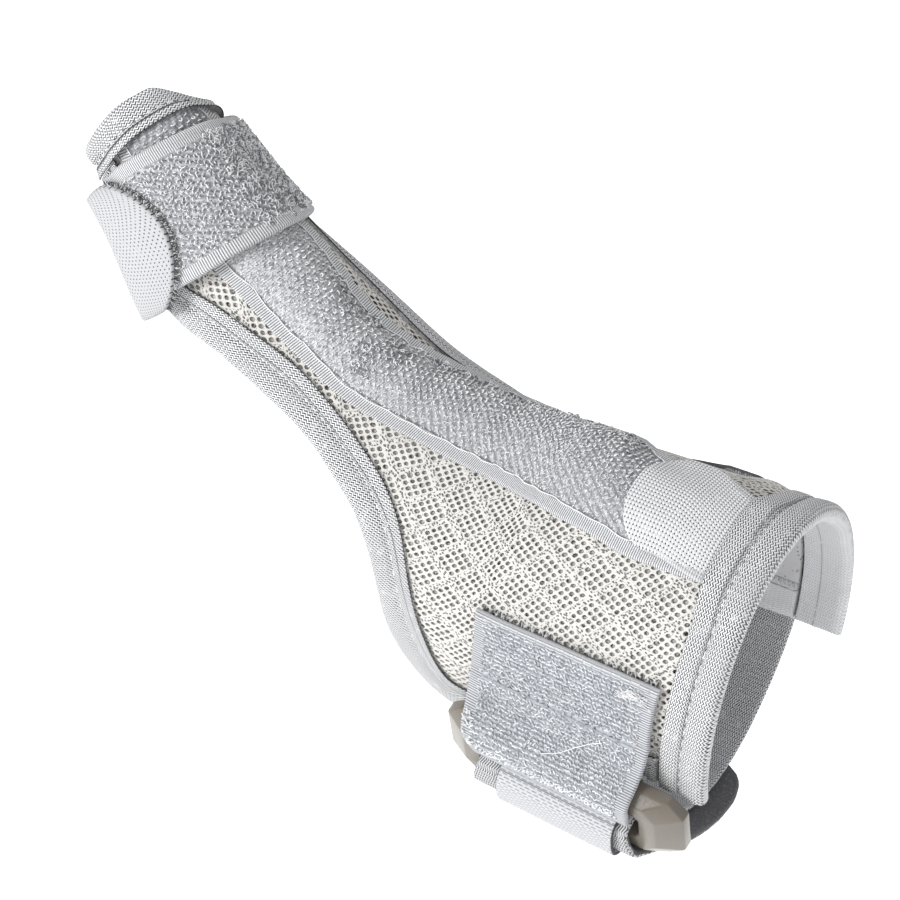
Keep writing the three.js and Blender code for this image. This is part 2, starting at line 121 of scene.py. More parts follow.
TIP_END = table(
    "angle seam rim",
    (-98, 159, 163.6), (-60, 160, 164.4), (-30, 163.4, 166.4), (-12, 165.8, 168.9), (2, 167.8, 171.6),
    (16, 168.9, 174), (35, 169.4, 174.6), (56, 168.9, 174.5), (85, 166.2, 172.5), (113, 163.5, 170),
)
SLEEVE = table(
    "along palm back loft",
    (9.5, 28, -10, 0.2), (20, 28.5, -16, 1.2), (28, 28.5, -18, 1.9), (35, 26, -25, 2.2),
    (42, 24.5, -36, 2.4), (52, 22, -41, 2.5), (68, 20, -40, 2.5), (80, 22.5, -33, 2.5),
    (88, 26, -28, 2.5), (95, 30.5, -22.5, 2.5), (104, 36.5, -17, 2.4), (116, 41, -16, 2.2),
    (124, 44, -20, 2.0), (132, 47, -24, 1.7), (139, 52, -21, 1.3), (150, 60, -19, 1.2),
    (160, 70, -21, 1.1), (169, 76, -20, 0.6),
)
THUMB_STRAP = table(
    "angle rise low high",
    (98, 4.4, 139, 163), (84, 4.9, 138.9, 164.4), (72, 5.6, 138.8, 165.6), (55, 6.4, 138.6, 166.2),
    (35, 6.8, 138.3, 166.1), (10, 6.7, 136.8, 164.7), (-8, 6.1, 135.6, 162.6), (-22, 5.4, 134.9, 161),
    (-40, 4.5, 134.5, 159.6), (-70, 4.4, 134.4, 159), (-100, 4.4, 134.4, 159), (-120, 3.6, 134.6, 159.2),
    (-150, 2.6, 135, 160), (-180, 2.4, 135.6, 160.8), (-210, 2.2, 136.2, 161), (-226, 2.8, 136.5, 160.6),
    (-236, 3.9, 136.6, 160.4), (-243, 4.5, 136.7, 160.2),
)
THUMB_TAB = table(
    "angle rise low high",
    (150, 4.1, 136.5, 160.5), (135, 4.8, 136.6, 160.5), (118, 6.5, 136.7, 161.5), (98, 6.5, 136.7, 163.2),
    (84, 6.95, 136.7, 163.7), (72, 7.6, 136.7, 163.7), (62, 8.15, 136.7, 163.7),
)
# The ring tab's edges change places, so that its outer face is out.
RING_TAB = table(
    "angle rise high low",
    (64, 3.9, 10.6, 51.5), (72, 3.9, 11, 50.2), (80, 4.4, 10.8, 49.2), (86, 5.5, 10.4, 48.3),
    (90.7, 6.72, 10.5, 47.8), (93, 7.99, 10.6, 47.3), (94.5, 9.27, 10.6, 46.9), (96, 11.26, 10.6, 46.2),
    (97.7, 12.3, 10.6, 45.4), (100.4, 12.21, 10.6, 44.6), (102.5, 12.19, 10.7, 43.4),
    (104.1, 11.61, 10.9, 42.3), (104.8, 10.17, 11, 41.8), (105, 8.37, 11, 41.8), (105.3, 6.57, 11, 41.8),
    (104.5, 4.95, 11, 41.8), (101.5, 4.54, 11, 41.8), (96.8, 4.74, 11, 41.8),
)
WRIST_STRAP = table(
    "angle rise low high",
    (-54, 3.95, 20, 25), (-57, 3.95, 17.5, 28), (-61.5, 3.95, 14, 35), (-67, 3.95, 11.2, 43),
    (-75, 3.95, 10.6, 49), (-95, 4.5, 10.6, 50.4), (-112, 4.5, 10.6, 50.4), (-124, 3.4, 10.6, 50.4),
    (-142, 2, 10.6, 50.4), (-160, 1.6, 10.6, 50.4), (-180, 1.5, 10.6, 50.4), (-200, 1.6, 10.6, 50.4),
    (-212, 2, 10.6, 50.2), (-222, 3, 10.7, 49.5), (-232, 4.7, 10.8, 47.5), (-239, 6.27, 11, 45),
    (-243.5, 5.69, 11.2, 43.4), (-247, 5.49, 11.4, 42.6), (-249.5, 6.24, 11.4, 42.6),
    (-250.6, 8.59, 11.4, 42.6), (-251.1, 10.78, 11.4, 42.6), (-250.4, 12.16, 11.4, 42.6),
    (-248.2, 12.74, 11, 43), (-245.1, 13.2, 10.4, 43.4), (-242.4, 12.98, 9.6, 43.8),
    (-239.7, 11.14, 8.4, 44.3), (-237.5, 9.5, 7.4, 44.7), (-234.3, 7.85, 6.6, 45), (-228, 6.3, 6, 45),
    (-219.6, 5.2, 6, 45), (-208, 4.3, 6, 45), (-192, 3.9, 6, 45), (-180, 3.8, 6.5, 44.5),
    (-172, 3.8, 9, 42), (-168, 3.8, 15, 36),
)
STRAP_END_ROWS = (19.6, 30.8)
STRAP_END_EDGES = (13.5, 38)


def reader(rows, key):
    """Reads a table smoothly between its rows by the values in its key column."""
    at = rows[key]
    count = len(at)
    before, after = np.maximum(np.arange(count) - 1, 0), np.minimum(np.arange(count) + 1, count - 1)
    columns = {name: column for name, column in rows.items() if name != key}
    slopes = {name: (c[after] - c[before]) / (at[after] - at[before]) for name, c in columns.items()}

    def read(values):
        index = np.clip(np.searchsorted(at, values) - 1, 0, count - 2)
        span = at[index + 1] - at[index]
        t = np.clip((values - at[index]) / span, 0, 1)
        found = {}
        for name, column in columns.items():
            leave, arrive = slopes[name][index] * span, slopes[name][index + 1] * span
            bend = leave * (t**3 - 2 * t * t + t) + arrive * (t**3 - t * t)
            here, step = column[index], column[index + 1] - column[index]
            found[name] = here + step * (3 * t * t - 2 * t**3) + bend
        return found

    return read


form_at = reader(FORM, "along")
palm_side_at = reader(PALM_SIDE, "along")
back_side_at = reader(BACK_SIDE, "along")
tip_end_at = reader(TIP_END, "angle")
sleeve_at = reader(SLEEVE, "along")


def unit(vectors):
    return vectors / np.linalg.norm(vectors, axis=-1, keepdims=True)


def lerp(low, high, share):
    return low + (high - low) * share


def smoothstep(values, low, high):
    t = np.clip((values - low) / (high - low), 0, 1)
    return t * t * (3 - 2 * t)


def bell(values, centre, width):
    return np.exp(-(((values - centre) / width) ** 2))


def on_form(along, angle, rise):
    """Points at places along the form, angles round it and heights off it."""
    along, angle, rise = np.broadcast_arrays(*(np.asarray(x, float) for x in (along, angle, rise)))
    form = form_at(along)
    ends = [form_at(np.clip(along + step, 0, FORM["along"][-1])) for step in (-0.5, 0.5)]
    before, after = (np.stack([end[axis] for axis in "xyz"], -1) for end in ends)
    ahead = unit(after - before)
    palm = np.array([0, -1.0, 0])
    to_palm = unit(palm - ahead * (ahead @ palm)[..., None])
    to_thumb_side = np.cross(ahead, to_palm)
    up, across = np.cos(np.radians(angle)), np.sin(np.radians(angle))
    half_up = np.where(up >= 0, form["radial"], form["ulnar"]) + rise
    half_across = np.where(across >= 0, form["palm"], form["back"]) + rise
    centre = np.stack([form[axis] for axis in "xyz"], -1)
    return centre + to_thumb_side * (half_up * up)[..., None] + to_palm * (half_across * across)[..., None]


def strap(rows, under, over, first=0, last=None, round_end=0, edges=None):
    """How a strap lies on its path: a function of the shares run and side and the level in its wall."""
    middles = (rows["low"] + rows["high"]) / 2
    here = on_form(middles, rows["angle"], rows["rise"])[1:]
    before = on_form(middles[1:], rows["angle"][:-1], rows["rise"][:-1])
    travel = np.concatenate([[0], np.cumsum(np.linalg.norm(here - before, axis=-1))])
    path_at = reader({**rows, "travel": travel}, "travel")
    last = len(travel) - 1 if last is None else last
    start, end = np.interp([first, last], np.arange(len(travel)), travel)

    def middle(distance, side):
        read = path_at(np.clip(distance, 0, travel[-1]))
        low, high = edges or (read["low"], read["high"])
        return on_form(lerp(low, high, side), read["angle"], read["rise"])

    def place(run, side, level):
        cut = round_end * (1 - np.sqrt(np.clip(1 - (2 * side - 1) ** 2, 0, 1)))
        distance = start + (end - cut - start) * run
        ahead = middle(distance + 0.2, side) - middle(distance - 0.2, side)
        across = middle(distance, np.minimum(side + 0.02, 1)) - middle(distance, np.maximum(side - 0.02, 0))
        outward = unit(np.cross(ahead, across))
        return middle(distance, side) + outward * np.asarray(lerp(under, over, level))[..., None]

    place.length = end - start
    return place


class Signal:
    """A number that varies over a surface, worked out by math nodes."""

    def __init__(self, tree, socket):
        self.tree, self.socket = tree, socket

    def math(self, operation, *others):
        node = self.tree.nodes.new("ShaderNodeMath")
        node.operation = operation
        for socket, value in zip(node.inputs, (self, *others)):
            if isinstance(value, Signal):
                self.tree.links.new(value.socket, socket)
            else:
                socket.default_value = value
        return Signal(self.tree, node.outputs[0])

    def __add__(self, other):
        return self.math("ADD", other)

    def __sub__(self, other):
        return self.math("SUBTRACT", other)

    def __mul__(self, other):
        return self.math("MULTIPLY", other)

    def __truediv__(self, other):
        return self.math("DIVIDE", other)

    def wave(self, pitch):
        """1 at each multiple of the pitch and -1 half way between."""
        return (self * (TURN / pitch)).math("COSINE")

    def zigzag(self, pitch):
        """Up from 0 to 1 and back in each pitch."""
        return self.math("PINGPONG", pitch / 2) * (2 / pitch)

    def within(self, pitch):
        """From -0.5 to 0.5 in each pitch."""
        return (self / pitch).math("FRACT") - 0.5

    def rising(self, low, high):
        """0 below low, 1 above high, smooth between."""
        node = self.tree.nodes.new("ShaderNodeMapRange")
        node.interpolation_type = "SMOOTHSTEP"
        self.tree.links.new(self.socket, node.inputs["Value"])
        node.inputs["From Min"].default_value = low
        node.inputs["From Max"].default_value = high
        return Signal(self.tree, node.outputs["Result"])

    def falling(self, low, high):
        return self.rising(low, high) * -1 + 1


class Finish:
    """A material whose colour and relief are laid on in signals."""

    def __init__(self, name, colour, roughness, sheen=0.0):
        self.material = bpy.data.materials.new(name)
        self.material.use_nodes = True
        self.tree = self.material.node_tree
        self.shader = self.tree.nodes["Principled BSDF"]
        self.shader.inputs["Base Color"].default_value = (*colour, 1)
        self.shader.inputs["Roughness"].default_value = roughness
        self.shader.inputs["Sheen Weight"].default_value = sheen
        self.shader.inputs["Specular IOR Level"].default_value = 0.25
        self.colour = colour
        self.height = None

    def attribute(self, name, output):
        node = self.tree.nodes.new("ShaderNodeAttribute")
        node.attribute_name = name
        return node.outputs[output]

    def weave(self):
        """Millimetres along the piece, across it, and in from its nearer long edge."""
        split = self.tree.nodes.new("ShaderNodeSeparateXYZ")
        self.tree.links.new(self.attribute("weave", "Vector"), split.inputs[0])
        return [Signal(self.tree, socket) for socket in split.outputs]

    def outer_face(self):
        """1 on the outer face of a cloth wall and 0 on its inner face."""
        return Signal(self.tree, self.attribute("outer_face", "Fac"))

    def stretched(self, node, vector, stretch):
        """Joins a texture to the places it is read at, stretched along each axis."""
        shape = self.tree.nodes.new("ShaderNodeVectorMath")
        shape.operation = "MULTIPLY"
        shape.inputs[1].default_value = stretch
        self.tree.links.new(vector, shape.inputs[0])
        self.tree.links.new(shape.outputs[0], node.inputs["Vector"])
        return node

    def texture(self, kind, size, stretch=(1, 1, 1), **options):
        """A texture in space, with features of that size in millimetres."""
        node = self.tree.nodes.new(kind)
        node.inputs["Scale"].default_value = 1 / (size * MM)
        for name, value in options.items():
            node.inputs[name].default_value = value
        place = self.tree.nodes.new("ShaderNodeTexCoord")
        return self.stretched(node, place.outputs["Object"], stretch)

    def noise(self, size, detail=2.0):
        """A soft random signal about 0.5, with patches of that size in millimetres."""
        node = self.texture("ShaderNodeTexNoise", size, Detail=detail)
        return Signal(self.tree, node.outputs["Fac"])

    def dots(self, size, stretch=(1, 1, 1)):
        """Distance from the nearest of many scattered dots, as a share of their spacing."""
        return Signal(self.tree, self.texture("ShaderNodeTexVoronoi", size, stretch).outputs["Distance"])

    def flecks(self, width, length):
        """Distance from the nearest of many scattered flecks of that size, laid over the piece's weave."""
        node = self.tree.nodes.new("ShaderNodeTexVoronoi")
        node.voronoi_dimensions = "2D"
        node.inputs["Scale"].default_value = 1
        self.stretched(node, self.attribute("weave", "Vector"), (1 / width, 1 / length, 0))
        return Signal(self.tree, node.outputs["Distance"])

    def tone(self):
        """How far a place on the piece is darker, up to 1, or lighter, down to -1, than the rest."""
        return Signal(self.tree, self.attribute("tone", "Fac"))

    def paint(self, amount, colour):
        """Lays a colour on as much as the signal says."""
        node = self.tree.nodes.new("ShaderNodeMix")
        node.data_type = "RGBA"
        node.clamp_factor = True
        self.tree.links.new(amount.socket, node.inputs["Factor"])
        below = self.shader.inputs["Base Color"]
        if below.links:
            self.tree.links.new(below.links[0].from_socket, node.inputs["A"])
        else:
            node.inputs["A"].default_value = (*self.colour, 1)
        node.inputs["B"].default_value = (*colour, 1)
        self.tree.links.new(node.outputs["Result"], below)

    def raise_by(self, amount, depth):
        """Adds relief of that depth in millimetres."""
        self.height = amount * depth if self.height is None else self.height + amount * depth

    def done(self):
        """The material, with its relief joined to its shader."""
        if self.height is not None:
            bump = self.tree.nodes.new("ShaderNodeBump")
            bump.inputs["Strength"].default_value = 1
            bump.inputs["Distance"].default_value = MM
            self.tree.links.new(self.height.socket, bump.inputs["Height"])
            self.tree.links.new(bump.outputs["Normal"], self.shader.inputs["Normal"])
        return self.material


# The net's cells come in square blocks, each with a closed band along two sides.
NET_BLOCK = 5


def cream_mesh():
    """Cream yarn, with small dark gaps in the closed bands between the blocks of holes."""
    finish = Finish("cream_mesh_yarn", (0.668, 0.653, 0.625), 0.9, sheen=0.2)
    column, row, _ = finish.weave()
    bands = [(cell / NET_BLOCK).math("FRACT").rising(0.8, 0.84) for cell in (column, row)]
    closed = bands[0].math("MAXIMUM", bands[1])
    specks = finish.flecks(0.62, 0.4)
    finish.paint(specks.falling(0.2, 0.42) * closed, (0.13, 0.128, 0.122))
    finish.paint(finish.dots(0.5, (1, 1, 0.6)).falling(0.1, 0.3) * 0.7, (0.2, 0.195, 0.185))
    finish.paint(finish.noise(5.0).rising(0.45, 0.75) * 0.3, (0.54, 0.525, 0.49))
    finish.raise_by(specks.rising(0.1, 0.45) * closed, 0.14)
    finish.raise_by(finish.noise(0.16), 0.06)
    return finish.done()


def mesh_backing():
    """Grey-cream knit behind the holes, with painted shade where its tone says, and a plain inner face."""
    finish = Finish("mesh_backing_knit", (0.40, 0.392, 0.377), 0.95)
    finish.paint(finish.noise(0.7, 3.0).falling(0.34, 0.48) * 0.9, (0.06, 0.058, 0.055))
    finish.paint(finish.noise(0.5).rising(0.56, 0.68) * 0.8, (0.72, 0.70, 0.67))
    # Painted shade where the tone is above 0.
    finish.paint(finish.tone().rising(0.0, 1.0) * 0.85, (0.06, 0.058, 0.054))
    inside = finish.outer_face().falling(0.3, 0.6)
    finish.paint(inside, (0.52, 0.52, 0.53))
    finish.paint(inside * finish.dots(1.1).falling(0.1, 0.3), (0.2, 0.2, 0.2))
    finish.raise_by(finish.noise(0.3), 0.2)
    return finish.done()


def lay_knit(finish, amount, light, dark, wale=0.56, course=0.92):
    """Zigzag yarns that run along the tape, with dark dashes in the gaps between them."""
    run, side, _ = finish.weave()
    drift = finish.noise(4.0) * 0.5
    line = (side + run.zigzag(course) * (wale * 0.75) + drift).wave(wale)
    gap = line.falling(-0.7, 0.45)
    dash = run.within(course).rising(-0.35, 0.0) * 0.4 + 0.6
    finish.paint(amount, light)
    finish.paint(gap * dash * amount * finish.noise(1.6).rising(0.1, 0.45), dark)
    finish.raise_by(gap * amount, -0.22)
    finish.raise_by(finish.noise(0.18), 0.05)


def knit_tape(name, groove, shade):
    """Zigzag knit with a painted shadow along the edge of its lip, and painted shade in a groove that many
    millimetres in from it.
    """
    finish = Finish(name, (0.68, 0.69, 0.71), 0.92, sheen=0.15)
    lay_knit(finish, finish.outer_face() * 0.65 + 0.35, (0.82, 0.825, 0.84), (0.035, 0.035, 0.04))
    finish.paint(finish.noise(9.0).rising(0.4, 0.75) * 0.25, (0.48, 0.49, 0.51))
    _, _, lip = finish.weave()
    # Painted shade in the sewn groove.
    line = (lip - groove).math("ABSOLUTE").falling(0.1, 0.36)
    finish.paint(line * finish.noise(1.5).rising(0.3, 0.45) * shade, (0.05, 0.05, 0.055))
    # Painted shadow along the lip's edge, where it lies over the piece below.
    finish.paint(lip.falling(0.08, 0.26), (0.02, 0.02, 0.022))
    return finish.done()


PAINTED_SHADE = 0.06, 0.06, 0.065
SELVEDGE = 2.6
SELVEDGE_RIB = 0.48
# Loops stand in rows: how far each millimetre along and across the tape leads over them, and their spacing.
SLANTING_ROWS = 0.54, 0.842, 1.298
HEM_ROWS = 1, 0, 0.86


def loop_ground(name, ground, deep, light, row_lie, hem=0.0, sewn=False):
    """The woven ground under the loops, with a ribbed selvedge along both edges, a hem at its start and
    painted shade.
    """
    finish = Finish(name, ground, 0.95, sheen=0.1)
    run, side, edge = finish.weave()
    along, across, pitch = row_lie
    rows = (run * along + side * across).wave(pitch)
    finish.paint(rows.falling(-1.0, -0.1) * 0.6, deep)
    finish.paint(rows.rising(0.1, 1.0) * finish.noise(0.9).rising(0.4, 0.6) * 0.6, light)
    finish.paint(finish.noise(0.5).rising(0.52, 0.66) * 0.5, light)
    finish.paint(finish.noise(0.6, 3.0).falling(0.34, 0.46) * 0.7, deep)
    tone = finish.tone()
    finish.paint((tone * -1).rising(0.0, 1.0) * finish.noise(0.7, 3.0).rising(0.35, 0.6), light)
    # Painted shade where the tone is above 0.
    finish.paint(tone.rising(0.0, 1.0) * finish.noise(0.9, 3.0).falling(0.36, 0.54) * 0.85, PAINTED_SHADE)
    if sewn:
        hatch = run.wave(0.52).falling(-0.9, 0.2) * finish.noise(0.9).rising(0.35, 0.55)
        finish.paint(hatch * run.rising(84, 96) * 0.65, deep)
        # Painted shadow on the pile side of the sewn line inside each selvedge.
        finish.paint(edge.falling(SELVEDGE + 0.2, SELVEDGE + 0.6) * 0.75, (0.09, 0.092, 0.10))
    border = edge.falling(SELVEDGE - 0.15, SELVEDGE + 0.1)
    finish.paint(border, light)
    gaps = run.wave(SELVEDGE_RIB).falling(-0.9, 0.1)
    finish.paint(border * gaps * 0.95, (0.17, 0.173, 0.18))
    finish.raise_by(border * gaps, -0.1)
    if hem:
        cut = run.falling(hem - 0.1, hem + 0.1)
        finish.paint(cut, [0.85 * share for share in light])
        finish.paint(cut * run.wave(0.62).falling(-0.9, 0.0) * 0.8, (0.22, 0.225, 0.24))
    finish.raise_by(finish.noise(0.4), 0.2)
    return finish.done()


def pile_yarn(name, light, shade):
    """Fluffy yarn with shaded patches."""
    finish = Finish(name, light, 0.8, sheen=0.25)
    finish.paint(finish.noise(1.4).rising(0.4, 0.65), shade)
    finish.raise_by(finish.noise(0.12), 0.03)
    return finish.done()


HOOK_PITCH, HOOK_ROW, HOOK_RIB = 1.24, 0.72, 0.31


def hook_tape():
    """Smooth light tape with tiny dark pricks in staggered rows."""
    finish = Finish("light_hook_tape", (0.47, 0.475, 0.49), 0.8)
    run, side, _ = finish.weave()
    row = (side / HOOK_ROW).math("FLOOR")
    along = (run + row.math("MODULO", 2.0) * (HOOK_PITCH / 2)).within(HOOK_PITCH) * HOOK_PITCH
    across = side.within(HOOK_ROW) * HOOK_ROW
    spot = (along * along + across * across).math("SQRT")
    finish.paint(finish.noise(6.0).rising(0.45, 0.7) * 0.3, (0.46, 0.465, 0.48))
    finish.paint(run.wave(HOOK_RIB).falling(-0.5, 0.6) * 0.12, (0.42, 0.43, 0.45))
    finish.paint(spot.falling(0.09, 0.2) * finish.noise(2.2).rising(0.2, 0.45), (0.02, 0.02, 0.022))
    finish.raise_by(spot.falling(0.06, 0.2), -0.12)
    finish.raise_by(run.wave(HOOK_RIB), 0.012)
    finish.raise_by(finish.noise(0.2), 0.04)
    return finish.done()


FLAP_WARP, FLAP_WEFT, FLAP_RIB = 0.8, 0.76, 0.5


def flap_weave():
    """Light basket weave with a dark dot at each crossing and ribbed selvedges."""
    finish = Finish("light_basket_weave", (0.76, 0.765, 0.785), 0.85)
    run, side, edge = finish.weave()
    warp, weft = side.wave(FLAP_WARP), run.wave(FLAP_WEFT)
    shade = 0.30, 0.31, 0.33
    finish.paint(weft.falling(-1.0, -0.2) * 0.4, shade)
    finish.paint(warp.falling(-1.0, -0.4) * 0.3, shade)
    dot = (warp + weft).falling(-1.8, -0.7)
    finish.paint(dot * finish.noise(1.2).rising(0.2, 0.45), (0.03, 0.03, 0.033))
    border = edge.falling(1.9, 2.2)
    finish.paint(border, (0.60, 0.605, 0.62))
    finish.paint(border * run.wave(FLAP_RIB).falling(-0.8, 0.2) * 0.75, (0.26, 0.265, 0.28))
    finish.raise_by(warp * weft, 0.06)
    finish.raise_by(warp + weft, 0.05)
    finish.raise_by(finish.noise(0.2), 0.05)
    return finish.done()


def wrist_tape():
    """Charcoal outer face and light zigzag knit inner face."""
    finish = Finish("two_faced_wrist_tape", (0.60, 0.61, 0.63), 0.92, sheen=0.1)
    outside = finish.outer_face().rising(0.35, 0.65)
    lay_knit(finish, outside * -1 + 1, (0.62, 0.63, 0.65), (0.12, 0.12, 0.125), 0.5, 0.9)
    finish.paint(outside, (0.10, 0.10, 0.105))
    finish.paint(outside * finish.noise(0.5).rising(0.5, 0.7) * 0.6, (0.2, 0.2, 0.21))
    return finish.done()


STRAP_END_ROW, STRAP_END_DASH = 0.46, 1.5
# The sewn line across the strap's end piece, in millimetres from its start.
STRAP_END_SEAM = 2.3


def strap_end_tape():
    """Fine rows of dashes across the tape, with a sewn line near its start and a painted shadow along its
    edges.
    """
    finish = Finish("ribbed_strap_end", (0.53, 0.54, 0.56), 0.9, sheen=0.1)
    run, side, edge = finish.weave()
    row = (run / STRAP_END_ROW).math("FLOOR")
    dashes = (side + row * 0.57).within(STRAP_END_DASH).rising(-0.3, -0.1)
    finish.paint(run.wave(STRAP_END_ROW).falling(-0.9, 0.1) * dashes * 0.7, (0.13, 0.13, 0.14))
    finish.paint(finish.noise(0.6).rising(0.5, 0.7) * 0.35, (0.36, 0.37, 0.39))
    seam = (run - STRAP_END_SEAM).math("ABSOLUTE").falling(0.03, 0.14)
    finish.paint(seam * 0.8, (0.10, 0.10, 0.11))
    # Painted shadow along its edges.
    finish.paint(edge.falling(0.1, 0.3), (0.05, 0.05, 0.055))
    finish.raise_by(run.wave(STRAP_END_ROW), 0.03)
    finish.raise_by(finish.noise(0.25), 0.06)
    return finish.done()


def white_thread():
    """Sewing thread, a little greyer in places."""
    finish = Finish("white_sewing_thread", (0.80, 0.80, 0.81), 0.6, sheen=0.1)
    finish.paint(finish.noise(0.5).rising(0.5, 0.8) * 0.4, (0.55, 0.55, 0.57))
    finish.raise_by(finish.noise(0.15), 0.05)
    return finish.done()


def ring_plastic():
    """Satin taupe plastic with faint mottling."""
    finish = Finish("taupe_ring_plastic", (0.145, 0.128, 0.105), 0.28)
    finish.shader.inputs["Specular IOR Level"].default_value = 0.5
    finish.paint(finish.noise(6.0).rising(0.4, 0.7) * 0.35, (0.17, 0.157, 0.139))
    finish.paint(finish.noise(0.7, 4.0).rising(0.62, 0.78) * 0.25, (0.27, 0.255, 0.23))
    finish.raise_by(finish.noise(0.5), 0.02)
    return finish.done()


CREAM = cream_mesh()
BACKING = mesh_backing()
EDGE_KNIT = knit_tape("edge_zigzag_knit", groove=2.7, shade=0.6)
TIP_KNIT = knit_tape("tip_zigzag_knit", groove=1.87, shade=1.0)
CUFF_KNIT = knit_tape("cuff_zigzag_knit", groove=4.3, shade=0.4)
LOOP_COLOURS = (0.33, 0.34, 0.355), (0.17, 0.175, 0.19), (0.66, 0.67, 0.69), SLANTING_ROWS
SLEEVE_GROUND = loop_ground("sleeve_loop_ground", *LOOP_COLOURS, sewn=True)
STRAP_GROUND = loop_ground("thumb_strap_loop_ground", *LOOP_COLOURS)
HEM = 1.1
TAB_GROUND = loop_ground(
    "ring_tab_loop_ground", (0.38, 0.4, 0.43), (0.2, 0.21, 0.23), (0.54, 0.555, 0.585), HEM_ROWS, hem=HEM,
)
SLEEVE_PILE = pile_yarn("grey_pile_loops", (0.91, 0.92, 0.94), (0.64, 0.65, 0.67))
TAB_PILE = pile_yarn("blue_grey_pile_loops", (0.78, 0.795, 0.828), (0.50, 0.517, 0.552))
# Painted light: a lighter copy of the tab's blue-grey yarn, for the loops on the fold round the ring.
LIT_FOLD_PILE = pile_yarn("painted_light_fold_loops", (0.89, 0.897, 0.912), (0.63, 0.64, 0.66))
# Painted shade: a darker copy of the tab's blue-grey yarn, for loops that stand for the shadows of its
# loops.
SHADED_TAB_PILE = pile_yarn("shaded_blue_grey_loops", (0.34, 0.355, 0.38), (0.22, 0.23, 0.25))
# Painted shade: a darker copy of the grey pile yarn, for loops and curls that stand for shadows in the
# pile.
SHADED_PILE = pile_yarn("shaded_pile_loops", (0.22, 0.226, 0.24), (0.12, 0.123, 0.13))
# Near-black yarn for the dark hook bristles, and for painted shade in the binding grooves, in the tab's
# crease and above its hem.
DARK_FUZZ_AND_SHADE = pile_yarn("dark_fuzz_and_painted_shade", (0.10, 0.10, 0.10), (0.05, 0.05, 0.05))
HOOK = hook_tape()
FLAP = flap_weave()
WRIST_TAPE = wrist_tape()
STRAP_END = strap_end_tape()
THREAD = white_thread()
PLASTIC = ring_plastic()


def join_frame(name, mesh, material, nodes=()):
    """Puts a finished mesh in the scene as a piece of the splint."""
    mesh.shade_smooth()
    mesh.materials.append(material)
    made = bpy.data.objects.new(name, mesh)
    bpy.context.scene.collection.objects.link(made)
    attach(made, "root")
    if nodes:
        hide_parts(*nodes)
    return made


def from_bmesh(name, bm, material, nodes=()):
    """Makes a bmesh a piece of the splint."""
    mesh = bpy.data.meshes.new(name)
    bm.to_mesh(mesh)
    bm.free()
    return join_frame(name, mesh, material, nodes)


def shares(length, step, first, last):
    """Where a piece has points along a length, as shares of it: close together in its rounded ends."""
    close = np.array([0, 0.08, 0.25, 0.5, 0.8, 1])
    inner = np.linspace(first, length - last, max(2, round((length - first - last) / step) + 1))
    places = np.concatenate([close * first, inner[1:-1], length - close * last])
    return np.sort(places) / length


def weave_lengths(points, borders):
    """Millimetres along a grid of points, across it and in from its nearer long edge. borders tells how
    many times as broad as usual the low and high edges' borders are, or 0 for an edge without one."""
    middle = points[:, points.shape[1] // 2]
    run = np.concatenate([[0], np.cumsum(np.linalg.norm(np.diff(middle, axis=0), axis=-1))])
    side = np.cumsum(np.linalg.norm(np.diff(points, axis=1), axis=-1), axis=1)
    side = np.concatenate([np.zeros((len(points), 1)), side], axis=1)
    inward = zip((side, side[:, -1:] - side), borders)
    edge = np.min([distance / border for distance, border in inward if border], axis=0)
    return np.stack([np.broadcast_to(run[:, None], side.shape), side, edge], -1)


def cloth(name, place, size, step, rounds, material, nodes=(), borders=(1, 1), tone=None, lay=None):
    """A closed cloth wall. size is its length and width, step its spacing of points along and across,
    rounds how far in its start, end, low and high edges are rounded, tone how dark it is at each place and
    lay where its weave lies, if not straight along its middle."""
    (length, width), (start, end, low, high) = size, rounds
    runs, sides = shares(length, step[0], start, end), shares(width, step[1], low, high)
    run, side = np.meshgrid(runs, sides, indexing="ij")
    fullness = np.ones_like(run)
    for distance, reach in (
        (run * length, start), ((1 - run) * length, end), (side * width, low), ((1 - side) * width, high),
    ):
        fullness = np.minimum(fullness, np.sqrt(1 - (1 - np.clip(distance / reach, 0, 1)) ** 2))
    weave = weave_lengths(place(run, side, np.ones_like(run)), borders)
    if lay:
        weave[..., :2] = lay(run, side)
    tones = tone(run, side) if tone else np.zeros_like(run)
    bm = bmesh.new()
    weave_layer = bm.verts.layers.float_vector.new("weave")
    face_layer = bm.verts.layers.float.new("outer_face")
    tone_layer = bm.verts.layers.float.new("tone")
    for outer in (1, 0):
        points = place(run, side, 0.5 + (outer - 0.5) * fullness) * MM
        columns, rows = len(runs) - 1, len(sides) - 1
        sheet = bmesh.ops.create_grid(bm, x_segments=columns, y_segments=rows, size=0.5)["verts"]
        for vert in sheet:
            i, j = round((vert.co.x + 0.5) * columns), round((vert.co.y + 0.5) * rows)
            vert.co = points[i, j]
            vert[weave_layer] = weave[i, j]
            vert[face_layer] = outer
            vert[tone_layer] = tones[i, j]
        if not outer:
            bmesh.ops.reverse_faces(bm, faces=list({face for vert in sheet for face in vert.link_faces}))
    bmesh.ops.remove_doubles(bm, verts=bm.verts[:], dist=1e-6)
    return from_bmesh(name, bm, material, nodes)


